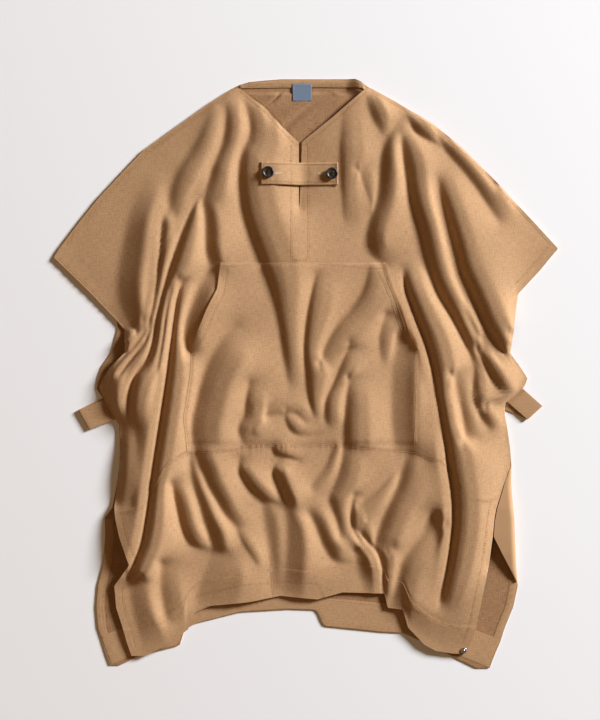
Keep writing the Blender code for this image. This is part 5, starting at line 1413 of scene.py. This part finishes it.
# %% [markdown]
# ## Brushed cotton
# The cloth is a cotton flannel: a fine plain weave whose face is brushed to a short soft nap. The eye
# sees a matte camel colour that is never quite even, with faint slubs along warp and weft, and a pale
# bloom where the nap is seen from the side. The weave's threads are 0.6 mm apart, too fine for the
# picture, so they are only drawn weakly, and slubs of 1.3 mm by 11 mm carry the woven look. The inside
# isn't brushed, so it is a little darker, and its colour is darker still as painted shade, since it lies
# low and shaded in the neck and the vents. A picture of cloth would repeat, and noise doesn't.

# %% Cloth material
THREAD = 0.6 * MM
SLUB_WIDTH = 1.3 * MM
SLUB_LENGTH = 11.0 * MM
MOTTLE = 70.0 * MM
NAP = 0.9 * MM
# A wave texture has a wave in each pi/10 of its coordinate, and a plain weave has two threads in one.
WAVE_SCALE = math.pi / 20
CAMEL = "#B98F66"
CAMEL_DARK = "#B0865D"
CAMEL_PALE = "#C1986F"
# The darkest colour of the painted shade that the material lays beside the stitches.
SEAM_PAINTED_SHADE = "#7E5630"


def cloth_material(name, middle, dark, pale):
    """Cotton flannel over a UV map in metres: matte, with a sheen from its nap and painted shade at stitches.
    """
    material, tree, shader = new_material(name)
    uv = add_node(tree, "ShaderNodeUVMap", uv_map="cloth").outputs[0]
    slubs = []
    for scale in ((1 / SLUB_LENGTH, 1 / SLUB_WIDTH, 1), (1 / SLUB_WIDTH, 1 / SLUB_LENGTH, 1)):
        stretched = add_node(tree, "ShaderNodeMapping", {"Vector": uv}, {"Scale": scale})
        noise = add_node(tree, "ShaderNodeTexNoise", {"Vector": stretched.outputs[0]},
                         {"Scale": 1.0, "Detail": 2.0})
        slubs.append(noise.outputs[0])
    slub = add_node(tree, "ShaderNodeMath", {0: slubs[0], 1: slubs[1]}, operation="ADD")
    half = add_node(tree, "ShaderNodeMath", {0: slub.outputs[0]}, {1: 0.5}, operation="MULTIPLY")
    mottle = add_node(tree, "ShaderNodeTexNoise", {"Vector": uv}, {"Scale": 1 / MOTTLE, "Detail": 2.0})
    tone = add_node(tree, "ShaderNodeMath", {0: mottle.outputs[0], 2: half.outputs[0]}, {1: 0.12},
                    operation="MULTIPLY_ADD")
    # Painted shade: near a row of stitches the tone is lowered, so the colour darkens there.
    seam = add_node(tree, "ShaderNodeAttribute", attribute_name="seam").outputs[2]
    tone = add_node(tree, "ShaderNodeMath", {0: seam, 2: tone.outputs[0]}, {1: -0.11},
                    operation="MULTIPLY_ADD")
    colour = add_ramp(tree, tone.outputs[0], [(0.28, linear(SEAM_PAINTED_SHADE)), (0.44, linear(dark)),
                                              (0.56, linear(middle)), (0.68, linear(pale))])
    threads = []
    for direction in ("X", "Y"):
        wave = add_node(tree, "ShaderNodeTexWave", {"Vector": uv},
                        {"Scale": WAVE_SCALE / THREAD, "Distortion": 1.0}, bands_direction=direction)
        threads.append(wave.outputs[1])
    weave = add_node(tree, "ShaderNodeMath", {0: threads[0], 1: threads[1]}, operation="MULTIPLY")
    nap = add_node(tree, "ShaderNodeTexNoise", {"Vector": uv}, {"Scale": 1 / NAP, "Detail": 3.0})
    relief = add_node(tree, "ShaderNodeMath", {0: weave.outputs[0], 2: slub.outputs[0]}, {1: 0.3},
                      operation="MULTIPLY_ADD")
    relief = add_node(tree, "ShaderNodeMath", {0: nap.outputs[0], 2: relief.outputs[0]}, {1: 0.6},
                      operation="MULTIPLY_ADD")
    relief = add_node(tree, "ShaderNodeMath", {0: seam, 2: relief.outputs[0]}, {1: -1.0},
                      operation="MULTIPLY_ADD")
    bump = add_node(tree, "ShaderNodeBump", {"Height": relief.outputs[0]},
                    {"Strength": 0.4, "Distance": 0.0005})
    tree.links.new(colour.outputs[0], shader.inputs["Base Color"])
    tree.links.new(bump.outputs[0], shader.inputs["Normal"])
    shader.inputs["Roughness"].default_value = 0.92
    shader.inputs["Specular IOR Level"].default_value = 0.25
    shader.inputs["Sheen Weight"].default_value = 0.45
    shader.inputs["Sheen Roughness"].default_value = 0.45
    shader.inputs["Sheen Tint"].default_value = linear("#EBD5B8")
    return material


camel_flannel = cloth_material("brushed_cotton_flannel", CAMEL, CAMEL_DARK, CAMEL_PALE)
# The inside is a darker copy of the cloth: partly the plainer unbrushed side, partly painted shade.
camel_inside_painted_shade = cloth_material("cotton_flannel_inside_painted_shade", "#A17852", "#946B47", "#AC845F")
for piece in cloth_pieces:
    piece.data.materials.append(camel_flannel)
# The back's first faces are those of its inside.
back.data.materials.append(camel_inside_painted_shade)
for face in list(back.data.polygons)[:len(back_quads)]:
    face.material_index = 1
print("cloth threads every", THREAD / MM, "mm")

# %% [markdown]
# ## Thread, resin, metal and the label's weave
# The topstitching is polyester thread in the cloth's own colour, so it shows only by its shadow and a
# faint gloss. The buttonholes are worked in cream thread, the buttons are sewn on with dark brown, and
# the label's frame is pale grey. The buttons are dark polyester resin with brown clouds, as polished
# horn has. The snap is nickel, brushed to a soft gloss, and the label is a tight blue-grey satin weave.

# %% Small materials
def plain_material(name, colour, roughness, metallic=0.0, coat=0.0, grain=0.0, grain_size=1.0):
    """One colour with a fine grain in tone and height, from the piece's own coordinates."""
    material, tree, shader = new_material(name)
    place = add_node(tree, "ShaderNodeTexCoord").outputs[3]
    noise = add_node(tree, "ShaderNodeTexNoise", {"Vector": place},
                     {"Scale": 1 / (grain_size * MM), "Detail": 4.0})
    base = linear(colour)
    dark = [value * (1 - grain) for value in base[:3]] + [1.0]
    pale = [min(value * (1 + grain), 1.0) for value in base[:3]] + [1.0]
    ramp = add_ramp(tree, noise.outputs[0], [(0.3, dark), (0.7, pale)])
    bump = add_node(tree, "ShaderNodeBump", {"Height": noise.outputs[0]},
                    {"Strength": 0.3, "Distance": 0.1 * MM})
    tree.links.new(ramp.outputs[0], shader.inputs["Base Color"])
    tree.links.new(bump.outputs[0], shader.inputs["Normal"])
    shader.inputs["Roughness"].default_value = roughness
    shader.inputs["Metallic"].default_value = metallic
    shader.inputs["Coat Weight"].default_value = coat
    return material


def resin_material(name):
    """Dark resin with drawn brown clouds of about 7 mm under a polish."""
    material, tree, shader = new_material(name)
    place = add_node(tree, "ShaderNodeTexCoord").outputs[3]
    noise = add_node(tree, "ShaderNodeTexNoise", {"Vector": place},
                     {"Scale": 1 / (7 * MM), "Detail": 4.0, "Distortion": 1.6})
    ramp = add_ramp(tree, noise.outputs[0], [(0.42, linear("#15110F")), (0.55, linear("#2B1F19")),
                                             (0.68, linear("#5A4536"))])
    tree.links.new(ramp.outputs[0], shader.inputs["Base Color"])
    shader.inputs["Roughness"].default_value = 0.45
    shader.inputs["Coat Weight"].default_value = 0.12
    shader.inputs["Coat Roughness"].default_value = 0.2
    return material


def label_material(name):
    """A blue-grey satin weave with a thread each 0.5 mm."""
    material, tree, shader = new_material(name)
    uv = add_node(tree, "ShaderNodeUVMap", uv_map="cloth").outputs[0]
    wave = add_node(tree, "ShaderNodeTexWave", {"Vector": uv},
                    {"Scale": WAVE_SCALE / (0.5 * MM), "Distortion": 1.5}, bands_direction="Y")
    ramp = add_ramp(tree, wave.outputs[1], [(0.0, linear("#627183")), (1.0, linear("#7B8B9C"))])
    bump = add_node(tree, "ShaderNodeBump", {"Height": wave.outputs[1]},
                    {"Strength": 0.4, "Distance": 0.15 * MM})
    tree.links.new(ramp.outputs[0], shader.inputs["Base Color"])
    tree.links.new(bump.outputs[0], shader.inputs["Normal"])
    shader.inputs["Roughness"].default_value = 0.6
    return material


small_materials = [
    (topstitching, plain_material("camel_polyester_thread", "#BE9264", 0.5, grain=0.12, grain_size=0.4)),
    (buttonholes, plain_material("cream_thread", "#DCC9A8", 0.55, grain=0.08, grain_size=0.4)),
    (button_thread, plain_material("dark_brown_thread", "#2A211C", 0.6, grain=0.1, grain_size=0.4)),
    (label_frame, plain_material("pale_grey_thread", "#98A5B0", 0.55, grain=0.08, grain_size=0.4)),
    (snap, plain_material("brushed_nickel", "#C9C8C4", 0.28, metallic=1.0, grain=0.06, grain_size=0.6)),
    (label, label_material("woven_satin_label")),
]
for piece, material in small_materials:
    piece.data.materials.append(material)
resin = resin_material("marbled_dark_resin")
for button in buttons.values():
    button.data.materials.append(resin)
print("materials made:", sorted(material.name for material in bpy.data.materials if material.users))

# %% [markdown]
# ## Bodies
# Nothing moves on this garment, so every piece rides on the root body, and each panel replaces its
# packed solid.

# %% Ride and replace
settled = []


def settle(piece, slot, *nodes):
    """Put a piece on the body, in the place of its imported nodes."""
    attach(piece, "root")
    if nodes:
        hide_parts(*nodes)
    settled.append(piece.name)


settle(front_upper, "cloth", "front_upper")
settle(front_lower, "cloth", "front_lower")
settle(pocket, "cloth", "pocket")
settle(back, "cloth", "back")
settle(neck_band, "cloth", "neck_band")
settle(label, "label", "label")
settle(tab, "cloth", "neck_tab")
settle(snap, "snap", "snap")
for name, button in buttons.items():
    settle(button, "button", name)
for name, side_loop in side_loops.items():
    settle(side_loop, "cloth", name)
settle(topstitching, "cloth")
settle(buttonholes, "cloth")
settle(label_frame, "label")
settle(button_thread, "button")
for facing in facings:
    settle(facing, "cloth")
print("pieces on the body:", len(settled))

# %% [markdown]
# A pattern would give the areas of the four large pieces, but there is none, so they were measured
# over the walls made above.

# %% [markdown]
# ## Floor, light and camera
# The garment is seen from straight above on white. A room picture could light it, but folds need one
# side darker than the other. So one large soft light stands low at the upper right and draws each fold
# with a dark left side. The fill and the world are weak and warm, as light that comes back from the
# cloth itself, and the floor is a plain pale paper.

# %% Floor
bpy.ops.object.select_all(action="DESELECT")
bpy.ops.mesh.primitive_plane_add(size=12.0, location=(0, 0, -0.0005))
floor = bpy.context.object
floor.name = "floor"
floor_finish, tree, shader = new_material("floor_paper")
shader.inputs["Base Color"].default_value = linear("#FAF7F3")
shader.inputs["Roughness"].default_value = 0.9
floor.data.materials.append(floor_finish)
print("floor:", floor.name)

# %% Light
def area_light(name, place, size, power, colour):
    """A round soft light that looks at the middle of the garment."""
    light = bpy.data.lights.new(name, "AREA")
    light.shape = "DISK"
    light.size = size
    light.energy = power
    light.color = linear(colour)[:3]
    lamp = bpy.data.objects.new(name, light)
    lamp.location = place
    lamp.rotation_euler = (-Vector(place)).to_track_quat("-Z", "Y").to_euler()
    bpy.context.scene.collection.objects.link(lamp)


area_light("key", (8.5, 4.85, 3.9), 2.8, 2550, "#EEF5FF")
area_light("fill", (-1.5, -1.0, 3.0), 2.5, 12, "#FFCB92")
world = bpy.data.worlds.new("studio") if bpy.context.scene.world is None else bpy.context.scene.world
bpy.context.scene.world = world
world.use_nodes = True
world.node_tree.nodes["Background"].inputs[0].default_value = linear("#FFD8AC")
world.node_tree.nodes["Background"].inputs[1].default_value = 0.085

# %% Camera
CAMERA_HEIGHT = 3.0
VIEW_HEIGHT = 1.224
SENSOR = 36.0
camera_data = bpy.data.cameras.new("camera")
camera_data.sensor_width = SENSOR
camera_data.lens = SENSOR * CAMERA_HEIGHT / VIEW_HEIGHT
camera = bpy.data.objects.new("camera", camera_data)
camera.location = (-0.0102, 0.023, CAMERA_HEIGHT)
bpy.context.scene.collection.objects.link(camera)
bpy.context.scene.camera = camera
bpy.context.scene.view_settings.view_transform = "Standard"
print("lens in mm:", round(camera_data.lens, 1))
